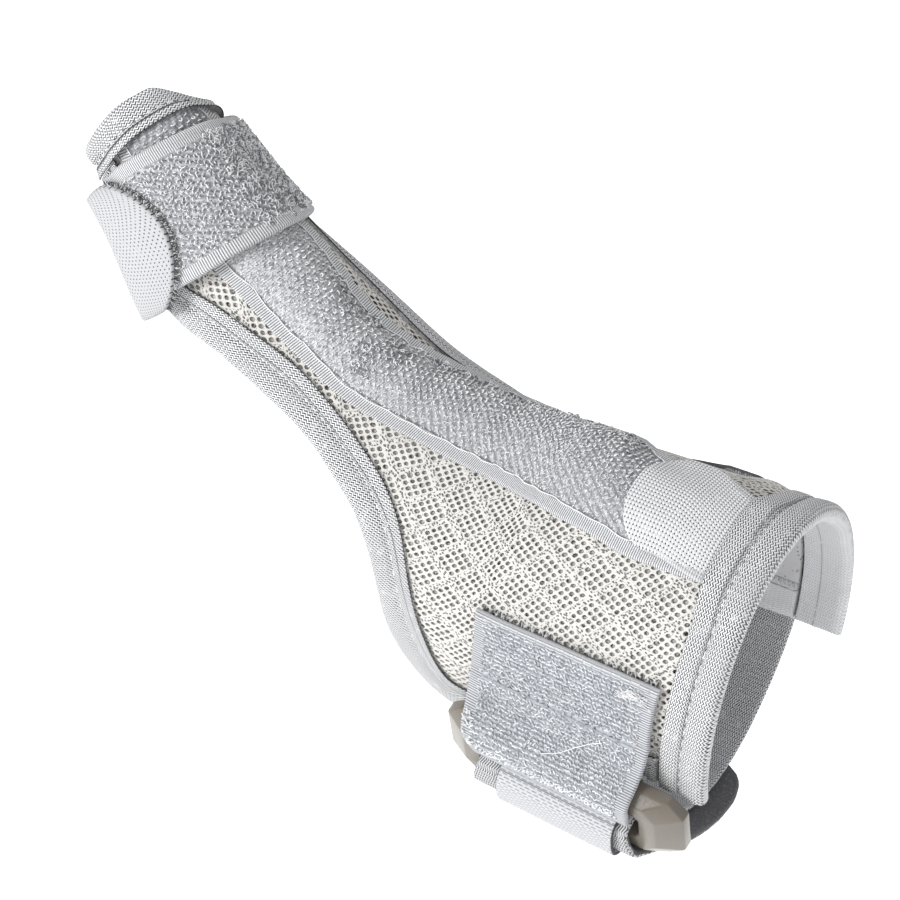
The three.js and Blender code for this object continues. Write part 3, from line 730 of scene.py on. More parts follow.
def threads(name, paths, radius, material, taper=1.0, scales=None):
    """Many threads as one piece, each along its row of points in millimetres and thinner to its end by
    taper. scales tells how thick each is, as a share of the radius."""
    curve = bpy.data.curves.new(name, "CURVE")
    curve.dimensions = "3D"
    curve.bevel_depth = radius * MM
    curve.bevel_resolution = 0
    curve.use_fill_caps = True
    for path, scale in zip(paths, np.ones(len(paths)) if scales is None else scales):
        line = curve.splines.new("POLY")
        line.points.add(len(path) - 1)
        line.points.foreach_set("co", np.column_stack([path * MM, np.ones(len(path))]).ravel())
        line.points.foreach_set("radius", scale * np.linspace(1, taper, len(path)))
    rope = bpy.data.objects.new(name, curve)
    mesh = bpy.data.meshes.new_from_object(rope)
    bpy.data.objects.remove(rope)
    bpy.data.curves.remove(curve)
    mesh.name = name
    mesh.materials.clear()
    return join_frame(name, mesh, material)


def outer_frame(place, run, side):
    """Points on a piece's outer face, with unit vectors along it, across it and outward."""
    top = np.ones_like(run)
    near = 0.003
    point = place(run, side, top)
    ahead = unit(place(run + near, side, top) - place(run - near, side, top))
    across = place(run, side + near, top) - place(run, side - near, top)
    outward = unit(np.cross(ahead, across))
    return point, ahead, np.cross(outward, ahead), outward


def pile(name, place, spots, material, size, radius, facing=(90, 30), scales=None, slant=0.0, points=5):
    """Small loops of yarn on a piece's outer face. size is their width and height, facing how far they are
    turned from the piece's length and how much that varies, in degrees, scales the size of each, and slant
    how far over they lie, as a share of their height."""
    point, ahead, across, outward = outer_frame(place, *spots)
    count = len(point)
    turn = np.radians(chance.normal(*facing, count))[:, None]
    heading = ahead * np.cos(turn) + across * np.sin(turn)
    sideways = np.cross(outward, heading)
    sweep = np.linspace(-0.1, 1.1, points) * math.pi
    scales = np.ones(count) if scales is None else scales
    half = (size[0] / 2 * scales * chance.uniform(0.6, 1.4, count))[:, None, None]
    tall = (size[1] * scales * chance.uniform(0.6, 1.3, count))[:, None, None]
    lean = chance.normal(slant * size[1], 0.3 * size[1], count)[:, None, None]
    curl = chance.normal(0, 0.2 * size[0], count)[:, None, None]
    paths = (
        point[:, None]
        - heading[:, None] * half * np.cos(sweep)[:, None]
        + outward[:, None] * (tall * np.sin(sweep)[:, None] - 0.05)
        + sideways[:, None] * (lean * np.sin(sweep)[:, None] + curl * np.sin(2 * sweep)[:, None])
    )
    return threads(name, paths, radius, material, scales=scales)


def local_width(place, run):
    """How wide a piece is at each share of its length, in millimetres."""
    sides = np.linspace(0, 1, 9)
    rows = place(run[..., None] + 0 * sides, sides + 0 * run[..., None], np.ones(run.shape + sides.shape))
    return np.linalg.norm(np.diff(rows, axis=-2), axis=-1).sum(-1)


# How many steps the rows of spots go each way, the widest that a tape may be, and the length left bare at
# each of its ends.
TAPE_STEPS, SLEEVE_STEPS = 400, 300
WIDEST = 50
BARE_END = 0.5


def rows_of_spots(reach, first, second, jitter):
    """Spots in slanting rows, in millimetres: so many steps of first and of second each way, each spot a
    little out of place."""
    steps = np.arange(-reach, reach + 1)
    i, j = (grid.ravel() for grid in np.meshgrid(steps, steps))
    return [i * a + j * b + chance.normal(0, jitter, i.size) for a, b in zip(first, second)]


def lattice(place, length, first, second, jitter, margin):
    """Spots in slanting rows over a piece, as shares of its length and width, clear of its selvedges."""
    run, offset = rows_of_spots(TAPE_STEPS, first, second, jitter)
    inside = (run > BARE_END) & (run < length - BARE_END) & (np.abs(offset) < WIDEST / 2)
    run, offset = run[inside] / length, offset[inside]
    width = local_width(place, run)
    kept = np.abs(offset) < width / 2 - margin
    return run[kept], (0.5 + offset / width)[kept]


def beside(place, length, spots, run_step, side_step):
    """Spots moved by millimetres along and across a piece."""
    run, side = spots
    return np.clip(run + run_step / length, 0.004, 0.996), side + side_step / local_width(place, run)


def stitches(
    name, place, length, sides=(), insets=(), pitch=2.4, share=0.8, start=0.0, lift=0.1, radius=0.13,
    material=THREAD,
):
    """Rows of sewn stitches along a piece, each a short thread that dips in at both ends. They lie at
    shares of its width, or wave about distances in from its low and high edges."""
    count = max(2, round(length / pitch))
    run = (np.arange(count)[:, None] + start + np.linspace(0, share, 5)) / count
    run = np.clip(run, 0.004, 0.996)
    dip = np.array([-0.22, 0.6, 1, 0.6, -0.22])
    if insets:
        wave = 0.14 * np.sin(run * length * 0.9) + 0.1 * np.sin(run * length * 0.37 + 1)
        low, high = ((inset + wave) / local_width(place, run) for inset in insets)
        sides = (low, 1 - high)
    paths = []
    for side in sides:
        across = side + chance.normal(0, 0.0018, (count, 1)) + 0 * run
        point, _, _, outward = outer_frame(place, run, across)
        paths.extend(point + outward * (lift * dip)[:, None])
    return threads(name, paths, radius, material)


def cuff_to_tip(run, side, corners, past=-LAYER_GAP):
    """Places along a piece that runs from the cuff to the tip's seam, or so far past it. corners are the
    angles of its back and palm corners there."""
    return lerp(CUFF_WIDTH + LAYER_GAP, tip_end_at(lerp(*corners, side))["seam"] + past, run)


def sleeve_top(along, across):
    """How high the padded sleeve's face is, before it crumples."""
    hump = smoothstep(across, 0.1, 0.46) * (1 - smoothstep(across, 0.66, 0.94))
    return MESH_WALL + LAYER_GAP + SLEEVE_EDGE + sleeve_at(along)["loft"] * hump


def mesh_swell(along, angle):
    """The panel bulges on its back side, by the cuff."""
    return 1.1 * bell(angle, -42, 14) * bell(along, 14, 4)


# The mesh panel: a backing knit, and over it a net with blocks of four by four holes.
BACKING_TOP = 2.0


def backing_place(run, side, level):
    along = cuff_to_tip(run, side, PANEL_CORNERS)
    back, palm = back_side_at(along)["seam"] + EDGE_GAP_ANGLE, palm_side_at(along)["seam"] - EDGE_GAP_ANGLE
    angle = lerp(back, palm, side)
    return on_form(along, angle, lerp(0.0, BACKING_TOP, level) + mesh_swell(along, angle))


def backing_painted_shade(run, side):
    """Painted shade: dark behind the net on the back side, so that the holes there look shaded."""
    return 1 - smoothstep(side, 0.4, 0.45) + 0 * run


backing = cloth(
    "mesh_backing", backing_place, PANEL, (1.6, 1.6), (0.5,) * 4, BACKING, ["mesh_body"],
    tone=backing_painted_shade,
)

NET_COLUMN = np.array([-1.2, 0.52])
NET_ROW = np.array([-0.88, -1.06])
NET_START = {"along": 67.3, "angle": 40.2}
ARC_ALONG = np.arange(0, 177, 1.0)
ARC_ANGLE = np.arange(-130, 131, 1.0)


def form_arcs():
    """Lengths round the form at each place along it, from the net's first hole."""
    along, angle = np.meshgrid(ARC_ALONG, ARC_ANGLE, indexing="ij")
    steps = np.linalg.norm(np.diff(on_form(along, angle, MESH_WALL), axis=1), axis=-1)
    arcs = np.concatenate([np.zeros((len(along), 1)), np.cumsum(steps, axis=1)], axis=1)
    start = [np.interp(NET_START["angle"], ARC_ANGLE, row) for row in arcs]
    return arcs - np.array(start)[:, None]


ARCS = form_arcs()


def arc_row(along):
    place = min(max(along, 0), len(ARC_ALONG) - 1.001)
    index = int(place)
    return lerp(ARCS[index], ARCS[index + 1], place - index)


def net_spots(cells):
    """Places along the form and angles round it of points given in net columns and rows."""
    flat = cells[:, :1] * NET_COLUMN + cells[:, 1:2] * NET_ROW
    along = NET_START["along"] + flat[:, 0]
    angle = np.array([np.interp(arc, arc_row(s), ARC_ANGLE) for s, arc in zip(along, flat[:, 1])])
    return along, angle


# A margin of the net is so many millimetres, and so many margins go on under the sleeve and the bindings.
NET_MARGIN = 1.5
UNDER_SLEEVE, UNDER_BINDING = 2.4, 0.3
# The ring tab and the wrist strap hide the mesh along this stretch, beyond these angles.
HIDDEN_FROM, HIDDEN_TO = 13, 46
TAB_HIDES, STRAP_HIDES = 70, -73


def hidden(along):
    return (along > HIDDEN_FROM) & (along < HIDDEN_TO)


def palm_half(along, angle, margin):
    """Which cells lie between the sleeve and the palm side's binding and can be seen."""
    low = sleeve_at(along)["palm"] - UNDER_SLEEVE * margin
    high = palm_side_at(along)["seam"] + UNDER_BINDING * margin
    return (angle > low) & (angle < high) & ~((angle > TAB_HIDES) & hidden(along))


def back_half(along, angle, margin):
    """Which cells lie between the back side's binding and the sleeve and can be seen."""
    low = back_side_at(along)["seam"] - UNDER_BINDING * margin
    high = sleeve_at(along)["back"] + UNDER_SLEEVE * margin
    return (angle > low) & (angle < high) & ~((angle < STRAP_HIDES) & hidden(along))


def net(name, half, arc_reach, rim, thick):
    """Half of the open mesh, cut out of cells that reach so far round the form. rim is the yarn left inside
    each cell, in cells, and thick the yarn's thickness."""
    corners = np.array([(s - NET_START["along"], t) for s in (8, 170) for t in arc_reach])
    cells = corners @ np.linalg.inv(np.stack([NET_COLUMN, NET_ROW]))
    low, high = np.floor(cells.min(0)).astype(int), np.ceil(cells.max(0)).astype(int)
    columns, rows = high - low
    bm = bmesh.new()
    weave_layer = bm.verts.layers.float_vector.new("weave")
    bmesh.ops.create_grid(bm, x_segments=int(columns), y_segments=int(rows), size=0.5)
    bmesh.ops.translate(bm, vec=(0.5, 0.5, 0), verts=bm.verts[:])
    bmesh.ops.scale(bm, vec=(columns, rows, 1), verts=bm.verts[:])
    bmesh.ops.translate(bm, vec=(low[0], low[1], 0), verts=bm.verts[:])
    faces = bm.faces[:]
    centres = np.array([face.calc_center_median()[:2] for face in faces])
    along, angle = net_spots(centres)
    margin = np.degrees(NET_MARGIN / (form_at(along)["palm"] + MESH_WALL))
    kept = half(along, angle, margin) & (along > 8.8) & (along < tip_end_at(angle)["seam"] + 1)
    bmesh.ops.delete(bm, geom=[face for face, keep in zip(faces, kept) if not keep], context="FACES")
    holes = []
    for face in bm.faces:
        column, row = (math.floor(place) % NET_BLOCK for place in face.calc_center_median()[:2])
        if max(column, row) < NET_BLOCK - 1:
            holes.append(face)
    bmesh.ops.inset_individual(bm, faces=holes, thickness=rim, use_even_offset=True)
    for face in holes:
        centre, grow = face.calc_center_median(), chance.uniform(0.88, 1.1)
        for vert in face.verts:
            vert.co = centre + (vert.co - centre) * grow
    bmesh.ops.delete(bm, geom=holes, context="FACES")
    verts = bm.verts[:]
    spots = np.array([vert.co[:2] for vert in verts]) + chance.normal(0, 0.035, (len(verts), 2))
    along, angle = net_spots(spots)
    points = on_form(along, angle, MESH_WALL - thick / 2 + mesh_swell(along, angle)) * MM
    for vert, point, spot in zip(verts, points, spots):
        vert.co = point
        vert[weave_layer] = (*spot, 0)
    made = from_bmesh(name, bm, CREAM)
    wall = made.modifiers.new("yarn_thickness", "SOLIDIFY")
    wall.thickness = thick * MM
    wall.offset = 0
    rounding = made.modifiers.new("yarn_rounding", "SUBSURF")
    rounding.levels = rounding.render_levels = 1
    return made


palm_net = net("palm_mesh_net", palm_half, arc_reach=(-22, 48), rim=0.098, thick=0.45)
back_net = net("back_mesh_net", back_half, arc_reach=(-95, -12), rim=0.065, thick=0.3)


# Knit bindings, each folded over its edge with a sewn groove between its band and its lip.
LIP_GAP = 0.05
LIP_ANGLE = 2.2
# Where the groove is, as a share of the width in from the folded edge.
BINDING_GROOVE = 0.64


def binding_rise(from_edge, level):
    groove = 0.6 * bell(from_edge, BINDING_GROOVE, 0.05)
    crown = 0.25 * bell(from_edge, 0.32, 0.22) + 0.3 * smoothstep(from_edge, 0.7, 0.95)
    under = BINDING_UNDER + (3.4 + LIP_GAP) * smoothstep(from_edge, 0.86, 0.9)
    return lerp(under, BINDING_TOP + crown - groove, level)


def palm_binding_place(run, side, level):
    along = cuff_to_tip(run, side, PALM_BINDING_CORNERS)
    edges = palm_side_at(along)
    angle = lerp(edges["seam"] - LIP_ANGLE, edges["edge"], side)
    return on_form(along, angle, binding_rise(1 - side, level))


def back_binding_place(run, side, level):
    along = cuff_to_tip(run, side, BACK_BINDING_CORNERS)
    edges = back_side_at(along)
    lip = LIP_ANGLE * (1 - 0.5 * bell(along, NECK, 14))
    return on_form(along, lerp(edges["edge"], edges["seam"] + lip, side), binding_rise(side, level))


def tip_binding_place(run, side, level):
    """Its lip lies over the end of the sleeve."""
    angle = lerp(TIP_PALM, TIP_BACK, run)
    ends = tip_end_at(angle)
    over_sleeve = smoothstep(angle, -58, -14) * (1 - smoothstep(angle, 74, 90))
    along = lerp(ends["seam"] - 0.5 + 0.2 * over_sleeve, ends["rim"], side)
    lip = over_sleeve * (1 - smoothstep(side, 0.2, 0.62))
    return on_form(along, angle, binding_rise(1 - side, level) + 1.5 * lip)


def cuff_binding_place(run, side, level):
    """Two bands with a groove between; its lip lies over the flap."""
    angle = lerp(CUFF_PALM, CUFF_BACK, run)
    over_flap = smoothstep(angle, -24, -6) * (1 - smoothstep(angle, 26, 44))
    lip = over_flap * smoothstep(side, 0.9, 0.98)
    along = CUFF_WIDTH * side + 0.5 * lip
    groove = 0.8 * bell(along, CUFF_GROOVE_AT, 0.42)
    bands = 0.22 * bell(along, 2.4, 1.8) + 0.12 * bell(along, 7.4, 1.4)
    top = CUFF_TOP - groove + bands + CUFF_FLAP_BULGE * over_flap * smoothstep(side, 0, 0.9) + 0.5 * lip
    return on_form(along, angle, lerp(BINDING_UNDER + 5.3 * lip, top, level))


palm_binding = cloth(
    "palm_binding_tape", palm_binding_place, EDGE_TAPE, (0.9, 0.4), (0.8, 0.8, 0.5, 1.7), EDGE_KNIT,
    ["palm_edge_binding"], borders=(1, 0),
)
back_binding = cloth(
    "back_binding_tape", back_binding_place, EDGE_TAPE, (0.9, 0.4), (0.8, 0.8, 1.7, 0.5), EDGE_KNIT,
    ["back_edge_binding"], borders=(0, 1),
)
tip_binding = cloth(
    "tip_binding_tape", tip_binding_place, TIP_TAPE, (0.8, 0.35), (0.8, 0.8, 0.5, 1.7), TIP_KNIT,
    ["thumb_tip_binding"], borders=(1, 0),
)
cuff_binding = cloth(
    "cuff_binding_tape", cuff_binding_place, CUFF_TAPE, (0.9, 0.4), (0.9, 0.9, 1.7, 0.6), CUFF_KNIT,
    ["cuff_binding"], borders=(0, 1),
)
binding_stitches = []
for name, place, tape, groove in (
    ("palm", palm_binding_place, EDGE_TAPE, 1 - BINDING_GROOVE),
    ("back", back_binding_place, EDGE_TAPE, BINDING_GROOVE),
    ("tip", tip_binding_place, TIP_TAPE, 1 - BINDING_GROOVE),
    ("cuff", cuff_binding_place, CUFF_TAPE, CUFF_GROOVE_AT / CUFF_WIDTH),
):
    row = place, tape[0], [groove]
    # Each groove gets white stitches, and between them dark threads that are painted shade in the groove.
    binding_stitches += [
        stitches(f"{name}_binding_stitches", *row, share=0.62),
        stitches(
            f"{name}_binding_painted_groove_shade", *row, share=0.52, start=0.55, lift=0.04, material=DARK_FUZZ_AND_SHADE,
        ),
    ]


# The stay sleeve: a padded strip with a loop face, sewn down inside its ribbed selvedges.
# Where it is crumpled by the splint's bend: place along, share across, and reach of each.
CRUMPLES = table(
    "along side long wide",
    (118, 0.26, 3.0, 0.1), (111, 0.2, 2.6, 0.08), (103, 0.34, 2.8, 0.12), (108, 0.52, 1.8, 0.09),
    (106, 0.72, 2.4, 0.07), (41, 0.22, 3.4, 0.14), (84, 0.17, 11, 0.05), (60, 0.2, 12, 0.05),
)


def crumpled(along, side):
    """How crumpled the strip is at each place, from 0 to 1."""
    found = np.zeros(np.broadcast(along, side).shape)
    for centre, middle, long, wide in zip(*CRUMPLES.values()):
        found = np.maximum(found, bell(along, centre, long) * bell(side, middle, wide))
    return found


def sleeve_along(run, side):
    """The strip runs from the cuff to just under the lip of the tip binding."""
    return cuff_to_tip(run, side, SLEEVE_CORNERS, past=LAYER_GAP)


def sleeve_edges(along):
    """The strip's edges, in degrees; it bares more of the mesh by the neck."""
    edges = sleeve_at(along)
    return edges["back"] + 3.6 * bell(along, NECK, 13), edges["palm"]


def sleeve_place(run, side, level):
    along = sleeve_along(run, side)
    middle = smoothstep(side, 0.1, 0.3) * (1 - smoothstep(side, 0.7, 0.9))
    ripple = 0.32 * np.sin(along * 1.15 + 3 * side) * bell(side, 0.2, 0.16) * bell(along, 92, 30)
    folds = np.sin(2.1 * along + 16 * side) + np.sin(1.3 * along - 40 * side + 2)
    folds = folds + np.sin(3.1 * along + 31 * side)
    dents = -0.45 * bell(along - 14 * side, 92, 2.6) - 0.45 * bell(along + 10 * side, 106, 2.2)
    swell = 0.3 * np.sin(along * 0.31 + 1.2) + 0.2 * np.sin(along * 0.63 + 5 * side)
    end = -0.9 * smoothstep(run, 0.975, 1)
    relief = ripple + middle * (dents + swell) + 0.24 * folds * crumpled(along, side) + end
    top = sleeve_top(along, side) + relief
    return on_form(along, lerp(*sleeve_edges(along), side), lerp(MESH_WALL + 0.1, top, level))


def face_radius(along, angle):
    """How far the strip's face is from the form's middle line, for lengths round the form."""
    form = form_at(along)
    return np.where(angle > 0, form["palm"], form["back"]) + SLEEVE_FACE


def sleeve_lay(run, side):
    """Millimetres along the form and round it, so that the weave doesn't follow the strip's edges."""
    along = sleeve_along(run, side)
    angle = lerp(*sleeve_edges(along), side)
    return np.stack([along, np.radians(angle) * face_radius(along, angle)], -1)


def sleeve_tone(run, side):
    """Painted shade in the crumples and by the tip, under the binding's lip, and lighter towards the palm
    side and the thumb strap.
    """
    along = sleeve_along(run, side)
    palm_side = 0.15 * smoothstep(side, 0.4, 0.8) * smoothstep(along, 60, 90)
    lighter = (palm_side + 0.5 * smoothstep(along, 88, 104)) * (1 - smoothstep(along, 150, 156))
    return np.maximum(0.8 * crumpled(along, side), 0.45 * smoothstep(along, 158, 162)) - lighter


# How many times as broad as the palm side's selvedge the back side's is.
BACK_SELVEDGE = 1.1
sleeve = cloth(
    "sleeve_strip", sleeve_place, (SLEEVE_LENGTH, SLEEVE_WIDTH), (0.75, 0.6), (0.5,) * 4, SLEEVE_GROUND,
    ["stay_sleeve"], borders=(BACK_SELVEDGE, 1), tone=sleeve_tone, lay=sleeve_lay,
)


def sleeve_spots(first, second, jitter):
    """Spots in straight slanting rows over the strip, clear of its selvedges."""
    along, arc = rows_of_spots(SLEEVE_STEPS, first, second, jitter)
    inside = (along > CUFF_WIDTH + 1) & (along < 170) & (np.abs(arc) < 40)
    along, arc = along[inside], arc[inside]
    angle = np.degrees(arc / face_radius(along, arc))
    back, palm = sleeve_edges(along)
    side = (angle - back) / (palm - back)
    start, end = (sleeve_along(share, np.clip(side, 0, 1)) for share in (0, 1))
    run = (along - start) / (end - start)
    width = local_width(sleeve_place, run)
    clear = (side * width > SELVEDGE * BACK_SELVEDGE + 0.3) & ((1 - side) * width > SELVEDGE + 0.4)
    kept = (run < 0.99) & clear
    return run[kept], side[kept]


spots = sleeve_spots((-1.2, 0.77), (-1.22, -0.76), 0.08)
finer = 1.15 - 0.5 * smoothstep(spots[1], 0.4, 0.8)
pile("sleeve_pile", sleeve_place, spots, SLEEVE_PILE, (0.62, 0.34), 0.115, (90, 30), finer, slant=0.7)
# Painted shadows: darker loops set beside each loop, on the side away from the key lamp.
spots = beside(sleeve_place, SLEEVE_LENGTH, spots, -0.42, 0.1)
pile("sleeve_shaded_pile", sleeve_place, spots, SHADED_PILE, (0.6, 0.12), 0.11, (90, 30), finer, points=4)
run, side = sleeve_spots((-0.74, 0.62), (-0.68, -0.43), 0.14)
kept = chance.uniform(0.25, 0.6, run.size) < side
spots = run[kept], side[kept]
pile("sleeve_fine_pile", sleeve_place, spots, SLEEVE_PILE, (0.42, 0.18), 0.085, (80, 50), points=4)
# So many curls are tried all over the strip, and those in its crumples are kept.
CURLS = 3000
# The dark curls are painted shade in the crumples.
for name, material in (("sleeve_light_curls", SLEEVE_PILE), ("sleeve_shaded_curls", SHADED_PILE)):
    run = chance.uniform(0.18, 0.72, CURLS)
    side = chance.uniform(0.12, 0.75, CURLS)
    kept = chance.uniform(0, 1.3, CURLS) < crumpled(sleeve_along(run, side), side)
    pile(name, sleeve_place, (run[kept], side[kept]), material, (0.66, 0.3), 0.09, (70, 90))
insets = SELVEDGE * BACK_SELVEDGE + 0.12, SELVEDGE + 0.12
stitches(
    "sleeve_stitches", sleeve_place, SLEEVE_LENGTH, insets=insets, pitch=3.4, share=0.97, lift=0.16,
    radius=0.14,
)


# The pocket flap over the end of the sleeve.
def flap_along(run, side):
    """Where the flap's rows of weave end along the splint: less far at its round corners."""
    corner = 1 - (1 - np.abs(2 * side - 1) ** FLAP_CORNER_POWER) ** (1 / FLAP_CORNER_POWER)
    return lerp(CUFF_WIDTH + 0.05, FLAP_END - FLAP_CORNER * corner, run)


def flap_lay(run, side):
    """Millimetres along the splint and across, so that the weave stays straight at the round end."""
    return np.stack([flap_along(run, side), side * FLAP_WIDTH], -1)


def flap_place(run, side, level):
    along = flap_along(run, side)
    back = lerp(FLAP_BACK_AT_CUFF, FLAP_BACK, smoothstep(along, CUFF_WIDTH, FLAP_WIDE_AT))
    angle = lerp(back, FLAP_PALM - 1.5 - 3 * smoothstep(along, CUFF_WIDTH, FLAP_WIDE_AT), side)
    edges = sleeve_at(along)
    across = np.clip((angle - edges["back"]) / (edges["palm"] - edges["back"]), 0, 1)
    sunk = 0.5 * (1 - smoothstep(along, CUFF_WIDTH, CUFF_WIDTH + 3))
    under = sleeve_top(along, across) + LAYER_GAP - sunk
    return on_form(along, angle, under + FLAP_THICK * level)


flap = cloth(
    "pocket_flap_tape", flap_place, (FLAP_LENGTH, FLAP_WIDTH), (0.8, 0.7), (0.4, 0.5, 0.5, 0.5), FLAP,
    ["pocket_flap"], lay=flap_lay,
)


# The thumb strap and the tab that closes it, with hook bristles round the tab's end, the dark ones partly
# painted shade.
strap_place = strap(THUMB_STRAP, -THUMB_STRAP_THICK / 2, THUMB_STRAP_THICK / 2)
thumb_strap = cloth(
    "thumb_strap_tape", strap_place, (strap_place.length, THUMB_STRAP_WIDTH), (0.9, 0.8),
    (0.5, 0.5, 0.6, 0.6), STRAP_GROUND, ["thumb_strap"],
)
spots = lattice(strap_place, strap_place.length, (-0.7, 0.6), (-0.64, -0.43), 0.2, SELVEDGE + 0.1)
# The shaded pile is painted shadow: darker loops beside each loop, away from the key lamp.
strap_piles = [
    pile("thumb_strap_pile", strap_place, spots, SLEEVE_PILE, (0.52, 0.3), 0.1, (75, 50), slant=0.5),
    pile(
        "thumb_strap_shaded_pile", strap_place, beside(strap_place, strap_place.length, spots, 0.3, -0.12),
        SHADED_PILE, (0.5, 0.14), 0.1, (75, 50), points=4,
    ),
]
# The dark strays are painted shade among the stray loops.
for name, material, count in (
    ("thumb_strap_light_strays", SLEEVE_PILE, 620), ("thumb_strap_shaded_strays", SHADED_PILE, 380),
):
    stray = 0.47 - 0.2 * chance.uniform(0, 1, count) ** 1.5, chance.uniform(0.06, 0.94, count)
    strap_piles.append(pile(name, strap_place, stray, material, (0.8, 0.5), 0.085, (90, 80)))

tab_place = strap(THUMB_TAB, -TAB_THICK / 2, TAB_THICK / 2, round_end=TAB_ROUND)
thumb_tab = cloth(
    "thumb_tab_tape", tab_place, (tab_place.length, THUMB_STRAP_WIDTH), (0.7, 0.7), (0.4, 0.5, 0.5, 0.5),
    HOOK, ["thumb_strap_tab"],
)


def bristles(name, count, reach, radius, material):
    """Short bristles that stick out from under the round end of the tab."""
    side = 0.5 - 0.5 * np.cos(np.radians(chance.uniform(12, 168, count)))
    end, low = np.ones(count), np.full(count, 0.1)
    point = tab_place(end, side, low)
    tangent = unit(tab_place(end, side + 0.004, low) - tab_place(end, side - 0.004, low))
    outward = unit(tab_place(end, side, low + 0.5) - point)
    away = np.cross(outward, tangent)
    away *= np.sign(((point - tab_place(0.4 * end, 0.5 * end, low)) * away).sum(-1, keepdims=True))
    turn = chance.normal(0, 0.5, count)[:, None]
    heading = (away * np.cos(turn) + tangent * np.sin(turn)) * chance.uniform(*reach, count)[:, None]
    lift = outward * chance.uniform(0, 0.55, count)[:, None]
    paths = np.stack([point - away * 0.3, point + heading * 0.5 + lift, point + heading + lift * 0.6], 1)
    return threads(name, paths, radius, material, taper=0.5)


tab_bristles = [
    # The dark bristles are partly dark fuzz and partly painted shade in the gap under the tab's edge.
    bristles("thumb_tab_dark_and_shade_bristles", 420, (0.5, 1.2), 0.09, DARK_FUZZ_AND_SHADE),
    bristles("thumb_tab_light_bristles", 220, (0.5, 1.2), 0.07, SLEEVE_PILE),
]


# The ring tab, with a sewn hem at its top, fuzz and painted shade above the hem, and a crease across with
# painted shade in it; then the ring.
flat_ring_tab = strap(RING_TAB, -RING_TAB_THICK / 2, RING_TAB_THICK / 2)
TAB_LENGTH = flat_ring_tab.length
# Where the crease and the fold round the ring are, as shares of its length.
TAB_CREASE, TAB_FOLD = 0.3, 0.55
# The pile stops past the fold: the rest of the tab lies hidden behind its front.
TAB_PILE_END = 0.66
CREASE_SHADE_SPECKS, EDGE_LOOPS, TUFT_HAIRS = 80, 16, 60
HEM_ANGLE = RING_TAB["angle"][0]


def ring_tab_place(run, side, level):
    return flat_ring_tab(run, side, level - 0.42 * bell(run, TAB_CREASE, 0.014))


ring_tab = cloth(
    "ring_tab_tape", ring_tab_place, (TAB_LENGTH, RING_TAB_WIDTH), (0.6, 0.8), (0.4, 0.4, 0.5, 0.5),
    TAB_GROUND, ["ring_tab"],
)
run, side = lattice(ring_tab_place, TAB_LENGTH, (0, 0.78), (0.86, 0.39), 0.1, SELVEDGE - 0.3)
kept = (run * TAB_LENGTH > HEM + 0.25) & (run < TAB_PILE_END) & (np.abs(run - TAB_CREASE) > 0.01)
run, side = run[kept], side[kept]
# Painted light: loops past the fold round the ring take the lighter copy of the yarn.
painted_lighter = run + chance.normal(0, 0.035, run.size) > TAB_FOLD
for name, part, yarn in (("ring_tab_pile", ~painted_lighter, TAB_PILE), ("ring_tab_lit_fold_pile", painted_lighter, LIT_FOLD_PILE)):
    spots = run[part], side[part]
    pile(
        name, ring_tab_place, spots, yarn, (0.62, 0.38), 0.132, (80, 24), slant=0.45,
    )
# Painted shadows: darker loops beside each loop, away from the key lamp.
spots = beside(ring_tab_place, TAB_LENGTH, (run, side), 0.4, 0.23)
pile(
    "ring_tab_shaded_pile", ring_tab_place, spots, SHADED_TAB_PILE, (0.58, 0.16), 0.11, (70, 40), points=4,
)
# Painted shade along the crease: dark specks among its loops.
spots = TAB_CREASE + chance.normal(0, 0.004, CREASE_SHADE_SPECKS), chance.uniform(0.1, 0.86, CREASE_SHADE_SPECKS)
pile(
    "ring_tab_crease_shade_specks", ring_tab_place, spots, DARK_FUZZ_AND_SHADE, (0.6, 0.14), 0.1, (90, 40),
)
spots = chance.uniform(0.5, 0.62, EDGE_LOOPS), chance.uniform(0.02, 0.07, EDGE_LOOPS)
pile(
    "ring_tab_edge_loops", ring_tab_place, spots, SLEEVE_PILE, (1.1, 0.7), 0.13, (20, 60),
)


def across_tab(run, side, level):
    """The ring tab with its length and width changed over, for stitches across it."""
    return ring_tab_place(side, 1 - run, level)


hem_rows = [0.5 / TAB_LENGTH, HEM / TAB_LENGTH]
hem_stitches = stitches("ring_tab_hem_stitches", across_tab, 40, hem_rows, pitch=2, share=0.85, radius=0.08)


def hem_fuzz_and_shade(name, spread, reach, radius, material, spots):
    """Tufts on the mesh just above the hem: grey fuzz, and dark tufts that are painted shade there."""
    start = on_form(spots, HEM_ANGLE + 0.6, 3.1)
    lean = chance.normal(0, spread, spots.size)
    long = chance.uniform(*reach, spots.size)
    middle = on_form(spots + 0.4 * lean, HEM_ANGLE - long / 2, 3.0 + chance.uniform(0, 0.35, spots.size))
    end = on_form(spots + lean, HEM_ANGLE - long, 2.8 + chance.uniform(0, 0.3, spots.size))
    return threads(name, np.stack([start, middle, end], 1), radius, material, taper=0.35)


hem_shade_and_fuzz = [
    # Painted shade: the dark tufts stand for the shade on the mesh just above the hem.
    hem_fuzz_and_shade("hem_painted_shade_tufts", 0.2, (0.9, 1.7), 0.34, DARK_FUZZ_AND_SHADE, np.arange(12, 50.5, 1.65)),
    hem_fuzz_and_shade("hem_grey_fuzz", 0.7, (1.2, 3.2), 0.06, SLEEVE_PILE, chance.uniform(11.5, 51, 46)),
]


